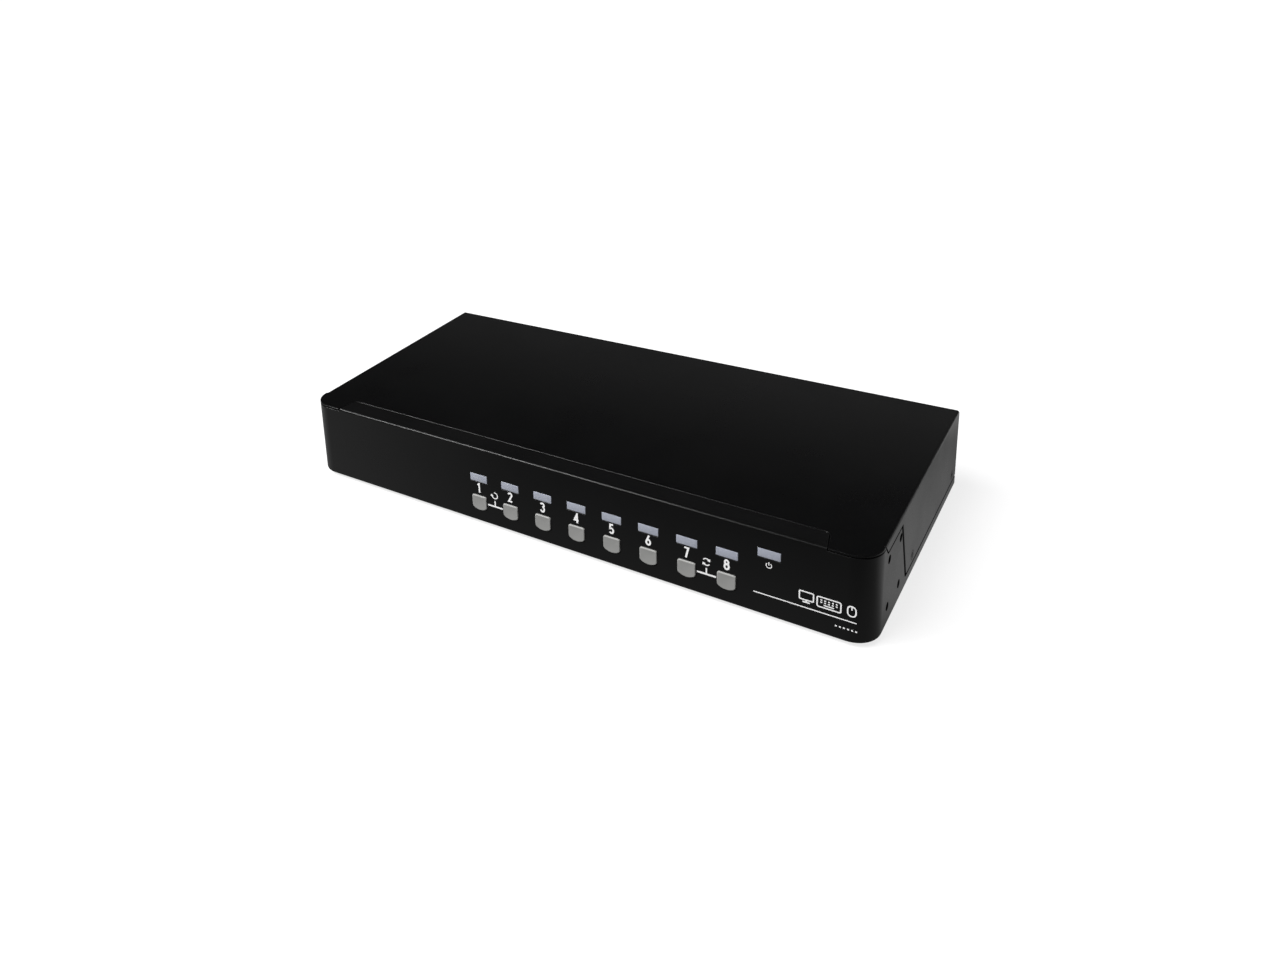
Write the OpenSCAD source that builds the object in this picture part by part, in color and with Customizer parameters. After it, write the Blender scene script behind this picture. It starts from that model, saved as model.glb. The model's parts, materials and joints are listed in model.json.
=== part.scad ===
// Eight-port keyboard, video and mouse switch in a folded steel case of one rack unit.
// The case frame has X to the right and Z up from the floor's underside, seen from the front,
// with the front face at Y 0 and the rear face at Y case_d. place() moves that frame
// so that the origin is under the middle of the whole unit, on the plane its feet stand on.

/* [Case] */
// Width across the outer side faces
case_w = 320; // [318:1:330]
// Depth from the front face to the rear face
case_d = 156; // [154:1:175]
// Height of the case without its feet
case_h = 44; // [43.5:0.1:44.4]
// Thickness of the sheet steel
sheet_t = 1; // [1:0.1:1.1]
// Plan radius of the two front corners
corner_r = 12; // [8:1:16]
// Outer radius of each fold
fold_r = 1.4; // [1.1:0.05:1.4]
// Gap between the edges of a cover skirt and of the base
seam_gap = 0.8; // [0.6:0.05:0.9]
// Extra gap in front of the slanted edge, so that the cover can slide on
slide_gap = 1.7; // [1:0.1:1.8]
// Gap between a cover skirt and the wall behind it
skirt_gap = 0.15; // [0.15:0.05:0.25]
// Height of the rubber feet
foot_h = 2; // [1.5:0.5:4]

/* [Cover] */
// Length of the front panel's return flange along its fold
flange_w = 278; // [240:1:286]
// How much shorter each end of the flange is at its free edge
flange_taper = 2.6; // [0:0.2:4]
// Depth of the return flange
flange_d = 12; // [9:0.5:16]
// Gap round the return flange
flange_gap = 0.35; // [0.25:0.05:0.5]
// Gap between the cover's front ears and the front wall's upper edge
ear_gap = 0.45; // [0.2:0.05:0.6]
// Height of the bottom edge of the skirts
skirt_z = 6.2; // [5.6:0.2:7]
// Height of the lower edge of the strip over each side wing
strip_z = 38.7; // [37.9:0.2:39.3]
// Distance from the front face to the top of the slanted seam
seam_top_y = 42.3; // [42.2:0.1:45]
// Distance from the front face to the foot of the slanted seam
seam_foot_y = 53.4; // [52:0.2:58]

/* [Front controls] */
// Distance between neighbouring port buttons
port_pitch = 19.6; // [19:0.1:19.8]
// Sideways place of the first port, from the middle of the case
first_port_x = -42.9; // [-46:0.1:-41]
// Width of a button
button_w = 9.2; // [8.5:0.1:9.6]
// Height of a button
button_h = 8.6; // [8:0.1:9.4]
// Height of a button's middle
button_z = 11.55; // [11:0.05:12.5]
// How far a button stands out of the front face
button_proud = 0.6; // [0.6:0.1:1.2]
// How far a button travels when pressed
button_travel = 0.5; // [0.2:0.05:0.55]
// Width of an indicator window
lens_w = 10.6; // [9:0.1:11]
// Height of an indicator window
lens_h = 4.4; // [3.5:0.1:5]
// Height of the port windows' middle
lens_z = 26.15; // [25:0.05:27]
// Height of the power window's middle
power_lens_z = 32.2; // [31:0.1:33]

/* [Rack ear holes] */
// Radius of the ear holes, as wide as the outside of their M4 threads
ear_hole_r = 2.05; // [1.65:0.05:2.1]
// Distance from the front face to the front pair of holes
ear_hole_y = 20; // [18:0.5:20]
// Front to rear spacing of the holes
ear_spacing_y = 19; // [16:0.5:19]
// Height of the lower pair of holes
ear_hole_z = 9.8; // [9:0.1:10]
// Vertical spacing of the holes
ear_spacing_z = 24; // [20:0.5:24]

/* [Rear ports] */
// Sideways place of the outermost stacked video port
first_stack_x = -134; // [-138:1:-130]
// Distance between neighbouring stacks
stack_pitch = 36; // [33:1:37]
// Sideways place of the console video port
console_x = 22; // [20:1:26]
// Sideways place of the keyboard and mouse sockets
ps2_x = 58; // [54:1:62]
// Sideways place of the stacked USB ports
usb_x = 84; // [80:1:88]
// Sideways place of the power jack
jack_x = 130; // [120:1:140]
// Height of the lower video ports above the circuit board
video_z = 6.3; // [6.3:0.1:6.6]
// Vertical spacing of two stacked video ports
video_rise = 19.05; // [18:0.05:19.05]
// Spacing of a video port's two jackscrews
jackscrew_spacing = 25; // [24.9:0.1:25.1]
// How far the video ports and their jackscrews stand out of the rear face
port_proud = 5; // [4.5:0.1:5.5]

/* [Hidden] */
$fn = 64;
PORTS = 8;
SIDES = [-1, 1];
EPS = 0.01;
// How far a cut runs past the face it goes through
PAST = 1;

// Case
wall_x = case_w / 2;
inner_wall_x = wall_x - sheet_t - skirt_gap;
wall_top_z = case_h - sheet_t - ear_gap;
rear_inner_y = case_d - sheet_t;
front_y = (button_proud - case_d - port_proud) / 2;
flange_corner_r = 2.6;
skirt_corner_r = 2;
skirt_front_y = corner_r + 2;
strip_slope = 3.5;
relief_r = 0.7;
foot_r = 6;
foot_inset = 18;

// Clearances between parts that stay together
close_gap = 0.05;
board_gap = 0.1;

// Screws
cover_screw_y = [64, case_d - 9];
cover_screw_z = 10.2;
screw_r = 1.45;
screw_hole_r = 1.5;
screw_head_r = 2.6;
screw_head_d = screw_head_r - screw_r;
screw_slot = [2.8, 0.5, 0.7];
cover_screw_l = 6;
pan_head_r = 2.8;
pan_head_h = 1.8;
ear_collar_r = 2.4;
ear_collar_h = 1.6;
front_board_screw_l = 7;
main_board_screw_l = 5;
foot_edge = 0.6;

// Button and switch stack, from the front wall backwards
button_shoulder_r = 1.2;
button_jaw_r = 2;
button_chin_r = 7;
button_gap = 0.2;
cap_flange_gap = 0.15;
cap_flange_y = sheet_t + cap_flange_gap;
cap_flange_t = 1;
cap_flange_size = 11.2;
cap_flange_corner_r = 1;
cap_boss_r = 2.9;
stem_r = 1.75;
stem_running_gap = 0.08;
switch_y = 6.4;
switch_size = 6;
switch_t = 3.5;
cap_boss_gap = 0.25;
cap_boss_end_y = switch_y - button_travel - cap_boss_gap;
cap_bore_floor = 0.5;
stem_front_y = cap_flange_y + cap_flange_t + cap_bore_floor;
stem_inside = 1.2;
stem_room = stem_inside + button_travel + board_gap;
dome_r = 2.2;
dome_rise = 0.3;
dome_t = 0.1;
dome_pocket_h = dome_rise + dome_t + close_gap;
front_board_y = switch_y + switch_t;
board_t = 1.6;
front_board_back_y = front_board_y + board_t;
front_board_x = [-60, 130];
front_board_z = [4.6, 38.6];
front_standoff_x = [-55, 125];
front_standoff_z = [9, 34.2];
standoff_r = 2.8;
standoff_floor = 1;
front_standoff_bore = 6.5;

// Indicator windows
lens_gap = 0.1;
lens_recess = 0.05;
lens_flange = 0.8;
lens_flange_t = 1;
lens_foot_trim = [3, 1];
lens_led_gap = 0.3;
led_size = [3.2, 1.9, 2.8];
power_x = first_port_x + PORTS * port_pitch;

// Main board
main_standoff_h = 5;
board_z = sheet_t + main_standoff_h;
board_top_z = board_z + board_t;
main_board_x = 150;
main_board_rear_gap = 0.6;
main_board_y = [44, rear_inner_y - main_board_rear_gap];
main_standoff_x = [-143, 0, 143];
main_standoff_y = [52, 136];

// Video ports
STACKS = 4;
video_low_z = board_top_z + video_z;
console_places = [[console_x, video_low_z]];
pc_places = [
    for (i = [0 : STACKS - 1]) for (rise = [0, video_rise])
        [first_stack_x + i * stack_pitch, video_low_z + rise]
];
video_flange = [30.8, 12.5];
video_flange_t = 0.8;
video_shell = [16.3, 7.9];
video_shell_t = 0.4;
video_corner_r = 1.9;
video_lean = 10;
video_flange_y = rear_inner_y - video_flange_t - close_gap;
video_body_d = 12;
video_notch = [18, 6, 4];
video_notch_z = 11;
contact_r = 0.5;
contact_pitch = 2.29;
contact_rows = 1.98;
contact_stagger = 0.25;
video_insert_recess = 0.5;
jackscrew_hex_r = 2.75;
jackscrew_shank_r = 1.4;
jackscrew_bore_r = 1.13;
jackscrew_bore_d = 4.6;
jackscrew_shank_d = 4;
jackscrew_room_d = 5;
jackscrew_hole_r = 1.6;

// Keyboard and mouse sockets
ps2_low_z = board_top_z + 7.2;
ps2_rise = 14.2;
ps2_w = 14;
ps2_d = 13;
ps2_nose_r = 6.3;
ps2_nose_gap = 0.2;
ps2_nose_proud = 0.4;
ps2_nose_d = 8.9;
ps2_insert_r = 4.25;
ps2_groove_r = 4.9;
ps2_groove_d = 6;
ps2_insert_recess = 0.6;
ps2_key = [2, 1.3];
ps2_key_z = 1.55;
ps2_pins = [[-2.6, -1], [2.6, -1], [-2.6, 1], [2.6, 1], [-1, -2.3], [1, -2.3]];

// USB ports
usb_size = [14.6, 16];
usb_d = 17;
usb_proud = 0.4;
usb_gap = 0.2;
usb_corner_r = 0.6;
usb_z = board_top_z + usb_size[1] / 2;
usb_hole = [12.5, 5.1];
usb_hole_d = 9.5;
usb_rise = 7.6;
usb_tongue = [11.2, 1.8];
usb_tongue_d = 8.7;
usb_tongue_lift = 0.9;

// Power jack
jack_size = [9, 11];
jack_d = 14;
jack_z = board_top_z + 6.5;
jack_collar_r = 4.4;
jack_collar_gap = 0.2;
jack_collar_root = 1;
jack_bore_r = 3.15;
jack_bore_d = 9.5;
jack_pin_r = 1.05;
jack_pin_recess = 0.8;

// Ribbon cable between the boards
ribbon_x = 40;
ribbon_w = 25.4;
ribbon_t = 0.9;
ribbon_bend_r = 6;
header_size = [30, 9, 8.8];
plug_size = [30, 6.4, 6];
main_header_y = 62;
front_header_z = 30;

// Components on the main board
processor_size = [20, 20, 1.6];
processor_at = [-62, 96];
amplifier_size = [6, 10, 1.8];
amplifier_x = 7;
amplifier_y = 121;
emulator_size = [9, 9, 1.4];
emulator_y = 72;
input_can = [5, 16];
input_can_x = 139;
input_can_y = [96, 110];
output_can = [3.15, 11];
output_can_x = [74, 86];
output_can_y = [100, 112];
crystal_size = [11, 4.6, 3.6];
crystal_x = [-38, 16];
crystal_y = 96;
buzzer_r = 6;
buzzer_h = 8.5;
buzzer_port_r = 1.25;
buzzer_at = [10, 66];
regulator_size = [10, 4.5, 15];
regulator_x = 104;
sink_w = 24;
sink_h = 20;
sink_t = 2;
sink_y = 89;
fins = 5;
fin_t = 1.2;
fin_d = 9;
inductor_size = [12, 12, 7];
inductor_at = [110, 116];

// --- Helpers ---------------------------------------------------------------

function port_x(i) = first_port_x + (i - 1) * port_pitch;

// Moves the case frame into the row frame
module place() {
    translate([0, front_y, foot_h]) children();
}

// Extrudes a drawing in X and Z from y0 to y1
module along_y(y0, y1) {
    translate([0, y1, 0]) rotate([90, 0, 0]) linear_extrude(y1 - y0) children();
}

// Extrudes a drawing in Y and Z from x0 to x1
module along_x(x0, x1) {
    translate([x0, 0, 0]) rotate([90, 0, 90]) linear_extrude(x1 - x0) children();
}

module rod_y(r, y0, y1) {
    translate([0, y1, 0]) rotate([90, 0, 0]) cylinder(r = r, h = y1 - y0);
}

module both_sides() {
    children();
    mirror([1, 0, 0]) children();
}

module block(size, at) {
    translate([at[0] - size[0] / 2, at[1] - size[1] / 2, at[2]]) cube(size);
}

// Points along an arc about centre c, from angle a0 to angle a1
function arc(c, r, a0, a1, steps = 6) =
    [for (i = [0 : steps]) let (a = a0 + (a1 - a0) * i / steps) c + r * [cos(a), sin(a)]];

module rounded_rect(size, r) {
    x = size[0] / 2 - r;
    y = size[1] / 2 - r;
    polygon(concat(
        arc([x, y], r, 0, 90), arc([-x, y], r, 90, 180),
        arc([-x, -y], r, 180, 270), arc([x, -y], r, 270, 360)
    ));
}

// What a fold of radius r takes off a square corner at the origin
module fold_waste(r) {
    difference() {
        translate([-EPS, -EPS]) square(r + EPS);
        translate([r, r]) circle(r);
    }
}

module at_places(places) {
    for (p = places) translate([p[0], 0, p[1]]) children();
}

module at_jackscrews(places) {
    for (p = places, side = SIDES)
        translate([p[0] + side * jackscrew_spacing / 2, 0, p[1]]) children();
}

// --- Outlines --------------------------------------------------------------

// Footprint of the case, with round front corners, drawn inset all round
module plan_outline(inset = 0) {
    half_w = wall_x - inset;
    translate([-half_w, corner_r]) square([2 * half_w, case_d - corner_r - inset]);
    translate([corner_r - wall_x, inset]) square([case_w - 2 * corner_r, corner_r - inset + EPS]);
    for (side = SIDES) translate([side * (wall_x - corner_r), corner_r]) circle(corner_r - inset);
}

// Return flange of the front wall, in X and Y, with tapered ends and rounded corners
module flange_outline(grow = 0) {
    r = flange_corner_r;
    lean = atan(flange_taper / flange_d);
    root_x = flange_w / 2 + grow / cos(lean);
    tip_x = flange_w / 2 - flange_taper - r * (1 - sin(lean)) / cos(lean);
    polygon(concat(
        [[-root_x, 0], [-root_x, -EPS], [root_x, -EPS], [root_x, 0]],
        arc([tip_x, flange_d - r], r + grow, lean, 90),
        arc([-tip_x, flange_d - r], r + grow, 90, 180 - lean)
    ));
}

// Skirt of the cover, in Y and Z, with its slanted edge moved forwards by slide
module skirt_outline(slide = 0) {
    offset(r = skirt_corner_r, $fn = 32) offset(delta = -skirt_corner_r)
    polygon([
        [skirt_front_y, case_h + skirt_corner_r], [skirt_front_y, case_h - sheet_t],
        [skirt_front_y + strip_slope, strip_z], [seam_top_y - slide, strip_z],
        [seam_foot_y - slide, skirt_z], [case_d + skirt_corner_r, skirt_z],
        [case_d + skirt_corner_r, case_h + skirt_corner_r]
    ]);
}

// The skirt, cut off square at the rear and at the top
module trimmed_skirt() {
    intersection() {
        skirt_outline();
        square([case_d, case_h]);
    }
}

// Room for the skirt in the base, with a gap all round it. past_rear carries a cut clear of the rear face.
module skirt_recess(grow, past_rear = 0) {
    intersection() {
        offset(delta = grow) skirt_outline(slide_gap);
        square([case_d + past_rear, case_h]);
    }
}

// Button face, in X and Z: small shoulders above, wide jaws and a bowed chin below
module button_outline(grow = 0) {
    shoulder = [button_w, button_h] / 2 - [button_shoulder_r, button_shoulder_r];
    chin_z = button_chin_r - button_h / 2;
    jaw_x = button_w / 2 - button_jaw_r;
    jaw_turn = asin(jaw_x / (button_chin_r - button_jaw_r));
    jaw_z = chin_z - (button_chin_r - button_jaw_r) * cos(jaw_turn);
    polygon(concat(
        arc(shoulder, button_shoulder_r + grow, 0, 90),
        arc([-shoulder[0], shoulder[1]], button_shoulder_r + grow, 90, 180),
        arc([-jaw_x, jaw_z], button_jaw_r + grow, 180, 270 - jaw_turn),
        arc([0, chin_z], button_chin_r + grow, 270 - jaw_turn, 270 + jaw_turn, 12),
        arc([jaw_x, jaw_z], button_jaw_r + grow, 270 + jaw_turn, 360)
    ));
}

// D shape of a video port, wider at the top
module video_outline(grow = 0) {
    r = video_corner_r + grow;
    x = video_shell[0] / 2 - video_corner_r;
    z = video_shell[1] / 2 - video_corner_r;
    foot_x = x - 2 * z * tan(video_lean);
    polygon(concat(
        arc([x, z], r, -video_lean, 90), arc([-x, z], r, 90, 180 + video_lean),
        arc([-foot_x, -z], r, 180 + video_lean, 270), arc([foot_x, -z], r, 270, 360 - video_lean)
    ));
}

// --- Case ------------------------------------------------------------------

// Rounds the folds between the floor and the walls
module floor_folds() {
    straight_w = case_w - 2 * corner_r;
    along_x(-straight_w / 2, straight_w / 2) fold_waste(fold_r);
    along_x(-wall_x - EPS, wall_x + EPS)
        translate([case_d, 0]) mirror([1, 0]) fold_waste(fold_r);
    both_sides() {
        along_y(corner_r, case_d + EPS) translate([-wall_x, 0]) fold_waste(fold_r);
        translate([corner_r - wall_x, corner_r, 0]) rotate([0, 0, 180])
            rotate_extrude(angle = 90) translate([corner_r, 0]) mirror([1, 0]) fold_waste(fold_r);
    }
}

// One side of the base: wing and lip outside, jogged inwards behind the skirt
module jogged_side() {
    inner_x = inner_wall_x - sheet_t;
    along_x(inner_x, inner_wall_x) skirt_recess(seam_gap + sheet_t);
    difference() {
        along_x(inner_x, wall_x) skirt_recess(seam_gap + sheet_t);
        along_x(inner_x - EPS, wall_x + EPS) skirt_recess(seam_gap, EPS);
    }
}

module base_shell() {
    difference() {
        linear_extrude(wall_top_z) plan_outline();
        translate([0, 0, sheet_t]) linear_extrude(case_h) plan_outline(sheet_t);
        both_sides() along_x(inner_wall_x, wall_x + EPS) skirt_recess(seam_gap, EPS);
    }
    difference() {
        both_sides() jogged_side();
        translate([0, 0, wall_top_z]) linear_extrude(case_h) square(3 * case_w, center = true);
    }
}

// Front wall's upper edge, folded back over the top
module return_flange() {
    difference() {
        union() {
            translate([0, 0, case_h - sheet_t]) linear_extrude(sheet_t) flange_outline();
            along_y(0, sheet_t) translate([-flange_w / 2, case_h / 2]) square([flange_w, case_h / 2]);
        }
        along_x(-case_w, case_w) translate([0, case_h]) mirror([0, 1]) fold_waste(fold_r);
        translate([-case_w, -PAST, 0]) cube([2 * case_w, PAST, 2 * case_h]);
    }
}

module front_cuts() {
    along_y(-PAST, sheet_t + PAST) {
        for (i = [1 : PORTS]) {
            translate([port_x(i), button_z]) button_outline(button_gap);
            translate([port_x(i), lens_z]) lens_cut();
        }
        translate([power_x, power_lens_z]) lens_cut();
    }
}

module lens_cut() {
    square([lens_w + 2 * lens_gap, lens_h + 2 * lens_gap], center = true);
}

module rear_cuts() {
    along_y(rear_inner_y - PAST, case_d + PAST) {
        for (p = concat(pc_places, console_places)) translate(p) video_outline(video_shell_t);
        for (p = concat(pc_places, console_places), side = SIDES)
            translate([p[0] + side * jackscrew_spacing / 2, p[1]]) circle(jackscrew_hole_r);
        for (rise = [0, ps2_rise])
            translate([ps2_x, ps2_low_z + rise]) circle(ps2_nose_r + ps2_nose_gap);
        translate([usb_x, usb_z]) square(usb_size + 2 * [usb_gap, usb_gap], center = true);
        translate([jack_x, jack_z]) circle(jack_collar_r + jack_collar_gap);
    }
}

module at_ear_holes() {
    for (y = [0, ear_spacing_y], z = [0, ear_spacing_z])
        translate([0, ear_hole_y + y, ear_hole_z + z]) rotate([0, 90, 0]) children();
}

module at_cover_screws() {
    for (y = cover_screw_y) translate([wall_x, y, cover_screw_z]) rotate([0, -90, 0]) children();
}

module base_chassis() {
    color("#1c1c1f") difference() {
        union() {
            base_shell();
            return_flange();
            both_sides() at_ear_holes() translate([0, 0, wall_x - sheet_t - ear_collar_h])
                cylinder(r = ear_collar_r, h = ear_collar_h + EPS);
        }
        floor_folds();
        front_cuts();
        rear_cuts();
        both_sides() {
            at_ear_holes() cylinder(r = ear_hole_r, h = wall_x + PAST);
            at_cover_screws() cylinder(r = screw_hole_r, h = 3 * sheet_t + skirt_gap);
        }
    }
}

module cover_skirt() {
    difference() {
        along_x(wall_x - sheet_t, wall_x) trimmed_skirt();
        at_cover_screws() {
            cylinder(r = screw_hole_r, h = 2 * sheet_t);
            translate([0, 0, -EPS])
                cylinder(r1 = screw_head_r + close_gap + EPS, r2 = screw_hole_r, h = screw_head_d + EPS);
        }
    }
}

module top_cover() {
    color("#161617") difference() {
        union() {
            translate([0, 0, case_h - sheet_t]) linear_extrude(sheet_t) difference() {
                plan_outline();
                flange_outline(flange_gap);
                translate([-flange_w / 2 - flange_gap, -PAST])
                    square([flange_w + 2 * flange_gap, PAST + EPS]);
            }
            both_sides() cover_skirt();
        }
        both_sides() {
            along_y(skirt_front_y - relief_r, case_d + EPS)
                translate([wall_x, case_h]) mirror([1, 0]) mirror([0, 1]) fold_waste(fold_r);
            translate([wall_x, skirt_front_y - relief_r, case_h - 2 * sheet_t])
                cylinder(r = relief_r, h = 3 * sheet_t);
        }
    }
}

module cover_screws() {
    color("#101011") both_sides() at_cover_screws() difference() {
        union() {
            cylinder(r1 = screw_head_r, r2 = screw_r, h = screw_head_d);
            cylinder(r = screw_r, h = cover_screw_l);
        }
        for (turn = [0, 90]) rotate([0, 0, turn]) block(screw_slot, [0, 0, -EPS]);
    }
}

module foot(side, y) {
    color("#101010") translate([side * (wall_x - foot_inset), y, -foot_h]) {
        cylinder(r1 = foot_r - foot_edge, r2 = foot_r, h = foot_edge);
        translate([0, 0, foot_edge]) cylinder(r = foot_r, h = foot_h - foot_edge);
    }
}

// --- Buttons, switches and indicators --------------------------------------

module button(i) {
    color("#8f908c") translate([port_x(i), 0, button_z]) difference() {
        union() {
            along_y(-button_proud, cap_flange_y + EPS) button_outline();
            along_y(cap_flange_y, cap_flange_y + cap_flange_t)
                rounded_rect([cap_flange_size, cap_flange_size], cap_flange_corner_r);
            rod_y(cap_boss_r, cap_flange_y, cap_boss_end_y);
        }
        rod_y(stem_r + close_gap, stem_front_y, cap_boss_end_y + EPS);
    }
}

module switch_stem(i) {
    color("#e8e6df") translate([port_x(i), 0, button_z])
        rod_y(stem_r, stem_front_y, switch_y + stem_inside);
}

module tact_switches() {
    pocket_y = switch_y + stem_room;
    color("#202020") for (i = [1 : PORTS]) translate([port_x(i), 0, button_z]) difference() {
        along_y(switch_y, front_board_y) square(switch_size, center = true);
        rod_y(stem_r + stem_running_gap, switch_y - EPS, pocket_y + EPS);
        rod_y(dome_r + board_gap, pocket_y, pocket_y + dome_pocket_h);
    }
}

// Snap dome: a thin dished disc, hollow towards the floor of the switch
module switch_domes() {
    bowl_r = (pow(dome_r, 2) + pow(dome_rise, 2)) / (2 * dome_rise);
    floor_y = switch_y + stem_room + dome_pocket_h;
    color("silver") for (i = [1 : PORTS]) translate([port_x(i), floor_y, button_z])
        rotate([90, 0, 0]) rotate_extrude() intersection() {
            difference() {
                translate([0, dome_rise - bowl_r]) circle(bowl_r + dome_t, $fn = 256);
                translate([0, dome_rise - bowl_r]) circle(bowl_r, $fn = 256);
            }
            square([dome_r, 1]);
        }
}

// Light guide: window, retaining flange behind the wall, and a foot over the LED
module window() {
    face = [lens_w, lens_h];
    flange_y = sheet_t + lens_recess;
    foot_y = front_board_y - led_size[1] - lens_led_gap;
    along_y(lens_recess, flange_y + EPS) square(face, center = true);
    along_y(flange_y, flange_y + lens_flange_t)
        square(face + 2 * [lens_flange, lens_flange], center = true);
    along_y(flange_y + lens_flange_t - EPS, foot_y) square(face - lens_foot_trim, center = true);
}

module port_windows() {
    color("#9aa0ae") for (i = [1 : PORTS]) translate([port_x(i), 0, lens_z]) window();
}

module power_window() {
    color("#9aa0ae") translate([power_x, 0, power_lens_z]) window();
}

module led() {
    translate([0, front_board_y - led_size[1] / 2, 0]) cube(led_size, center = true);
}

module port_leds() {
    color("white") for (i = [1 : PORTS]) translate([port_x(i), 0, lens_z]) led();
}

module power_led() {
    color("white") translate([power_x, 0, power_lens_z]) led();
}

// --- Front board -----------------------------------------------------------

module at_front_standoffs() {
    for (x = front_standoff_x, z = front_standoff_z) translate([x, 0, z]) children();
}

module front_board() {
    color("darkgreen") difference() {
        along_y(front_board_y, front_board_back_y)
            translate([front_board_x[0], front_board_z[0]])
            square([front_board_x[1] - front_board_x[0], front_board_z[1] - front_board_z[0]]);
        at_front_standoffs() rod_y(screw_hole_r, front_board_y - PAST, front_board_back_y + PAST);
    }
}

module front_board_standoffs() {
    color("silver") at_front_standoffs() difference() {
        rod_y(standoff_r, sheet_t, front_board_y);
        rod_y(screw_hole_r, front_board_y - front_standoff_bore, front_board_y + EPS);
    }
}

module pan_screw(length) {
    cylinder(r = pan_head_r, h = pan_head_h);
    translate([0, 0, -length]) cylinder(r = screw_r, h = length + EPS);
}

module front_board_screws() {
    color("silver") at_front_standoffs()
        translate([0, front_board_back_y, 0]) rotate([-90, 0, 0]) pan_screw(front_board_screw_l);
}

// --- Ribbon cable ----------------------------------------------------------

module ribbon_cable() {
    r = ribbon_bend_r;
    start_y = front_board_back_y + header_size[2] + plug_size[2] / 2;
    down_y = main_header_y;
    end_z = board_top_z + header_size[2] + plug_size[2];
    color("#b9bcc0") along_x(ribbon_x - ribbon_w / 2, ribbon_x + ribbon_w / 2) {
        translate([start_y + plug_size[2] / 2, front_header_z - ribbon_t / 2])
            square([down_y - r - start_y - plug_size[2] / 2 + EPS, ribbon_t]);
        translate([down_y - r, front_header_z - r]) intersection() {
            difference() {
                circle(r + ribbon_t / 2);
                circle(r - ribbon_t / 2);
            }
            square(2 * r);
        }
        if (front_header_z - r > end_z)
            translate([down_y - ribbon_t / 2, end_z]) square([ribbon_t, front_header_z - r - end_z + EPS]);
    }
}

module ribbon_headers() {
    color("#1a1a1a") {
        translate([ribbon_x, front_board_back_y, front_header_z]) rotate([-90, 0, 0])
            block(header_size, [0, 0, 0]);
        block(header_size, [ribbon_x, main_header_y, board_top_z]);
    }
}

module ribbon_plugs() {
    color("#2b2b2b") {
        translate([ribbon_x, front_board_back_y + header_size[2], front_header_z]) rotate([-90, 0, 0])
            block(plug_size, [0, 0, 0]);
        block(plug_size, [ribbon_x, main_header_y, board_top_z + header_size[2]]);
    }
}

// --- Main board ------------------------------------------------------------

module at_main_standoffs() {
    for (x = main_standoff_x, y = main_standoff_y) translate([x, y, 0]) children();
}

module main_board() {
    depth = main_board_y[1] - main_board_y[0];
    color("darkgreen") difference() {
        translate([-main_board_x, main_board_y[0], board_z]) cube([2 * main_board_x, depth, board_t]);
        at_main_standoffs()
            translate([0, 0, board_z - PAST]) cylinder(r = screw_hole_r, h = board_t + 2 * PAST);
    }
}

module main_board_standoffs() {
    color("silver") at_main_standoffs() difference() {
        translate([0, 0, sheet_t]) cylinder(r = standoff_r, h = main_standoff_h);
        translate([0, 0, sheet_t + standoff_floor]) cylinder(r = screw_hole_r, h = main_standoff_h);
    }
}

module main_board_screws() {
    color("silver") at_main_standoffs() translate([0, 0, board_top_z]) pan_screw(main_board_screw_l);
}

// --- Video ports -----------------------------------------------------------

module video_shells(places) {
    color("silver") difference() {
        at_places(places) {
            along_y(video_flange_y, video_flange_y + video_flange_t) square(video_flange, center = true);
            along_y(video_flange_y, case_d + port_proud) video_outline();
        }
        at_places(places)
            along_y(video_flange_y - PAST, case_d + port_proud + PAST) video_outline(-video_shell_t);
        at_jackscrews(places) rod_y(screw_hole_r, video_flange_y - PAST, rear_inner_y + EPS);
    }
}

// Three rows of five contacts, the middle row offset by half a pitch
module contact_holes() {
    for (row = [-1 : 1], i = [-2 : 2])
        translate([(i + (row == 0 ? 1 : -1) * contact_stagger) * contact_pitch, 0, row * contact_rows])
            rod_y(contact_r, rear_inner_y, case_d + port_proud);
}

module video_inserts(places) {
    color("#2b4fb8") at_places(places) difference() {
        along_y(video_flange_y, case_d + port_proud - video_insert_recess)
            video_outline(-video_shell_t - close_gap);
        contact_holes();
    }
}

module video_housings(places, height) {
    color("#19191b") difference() {
        for (p = places)
            translate([p[0] - video_flange[0] / 2, video_flange_y - video_body_d, board_top_z])
                cube([video_flange[0], video_body_d, height]);
        at_jackscrews(places)
            rod_y(screw_hole_r, video_flange_y - jackscrew_room_d, video_flange_y + EPS);
    }
}

module pc_port_housings() {
    height = video_z + video_rise + video_flange[1] / 2;
    difference() {
        video_housings(pc_places, height);
        for (i = [0 : STACKS - 1]) block(video_notch, [
            first_stack_x + i * stack_pitch, video_flange_y - video_body_d, board_top_z + video_notch_z
        ]);
    }
}

module console_port_housing() {
    video_housings(console_places, video_z + video_flange[1] / 2);
}

module port_jackscrews() {
    hex_end_y = case_d + port_proud;
    color("#c9c9c4") at_jackscrews(concat(pc_places, console_places)) difference() {
        union() {
            rod_y(jackscrew_shank_r, video_flange_y - jackscrew_shank_d, case_d + EPS);
            translate([0, hex_end_y, 0]) rotate([90, 0, 0])
                cylinder(r = jackscrew_hex_r, h = port_proud, $fn = 6);
        }
        rod_y(jackscrew_bore_r, hex_end_y - jackscrew_bore_d, hex_end_y + EPS);
    }
}

// --- Keyboard and mouse sockets --------------------------------------------

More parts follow.
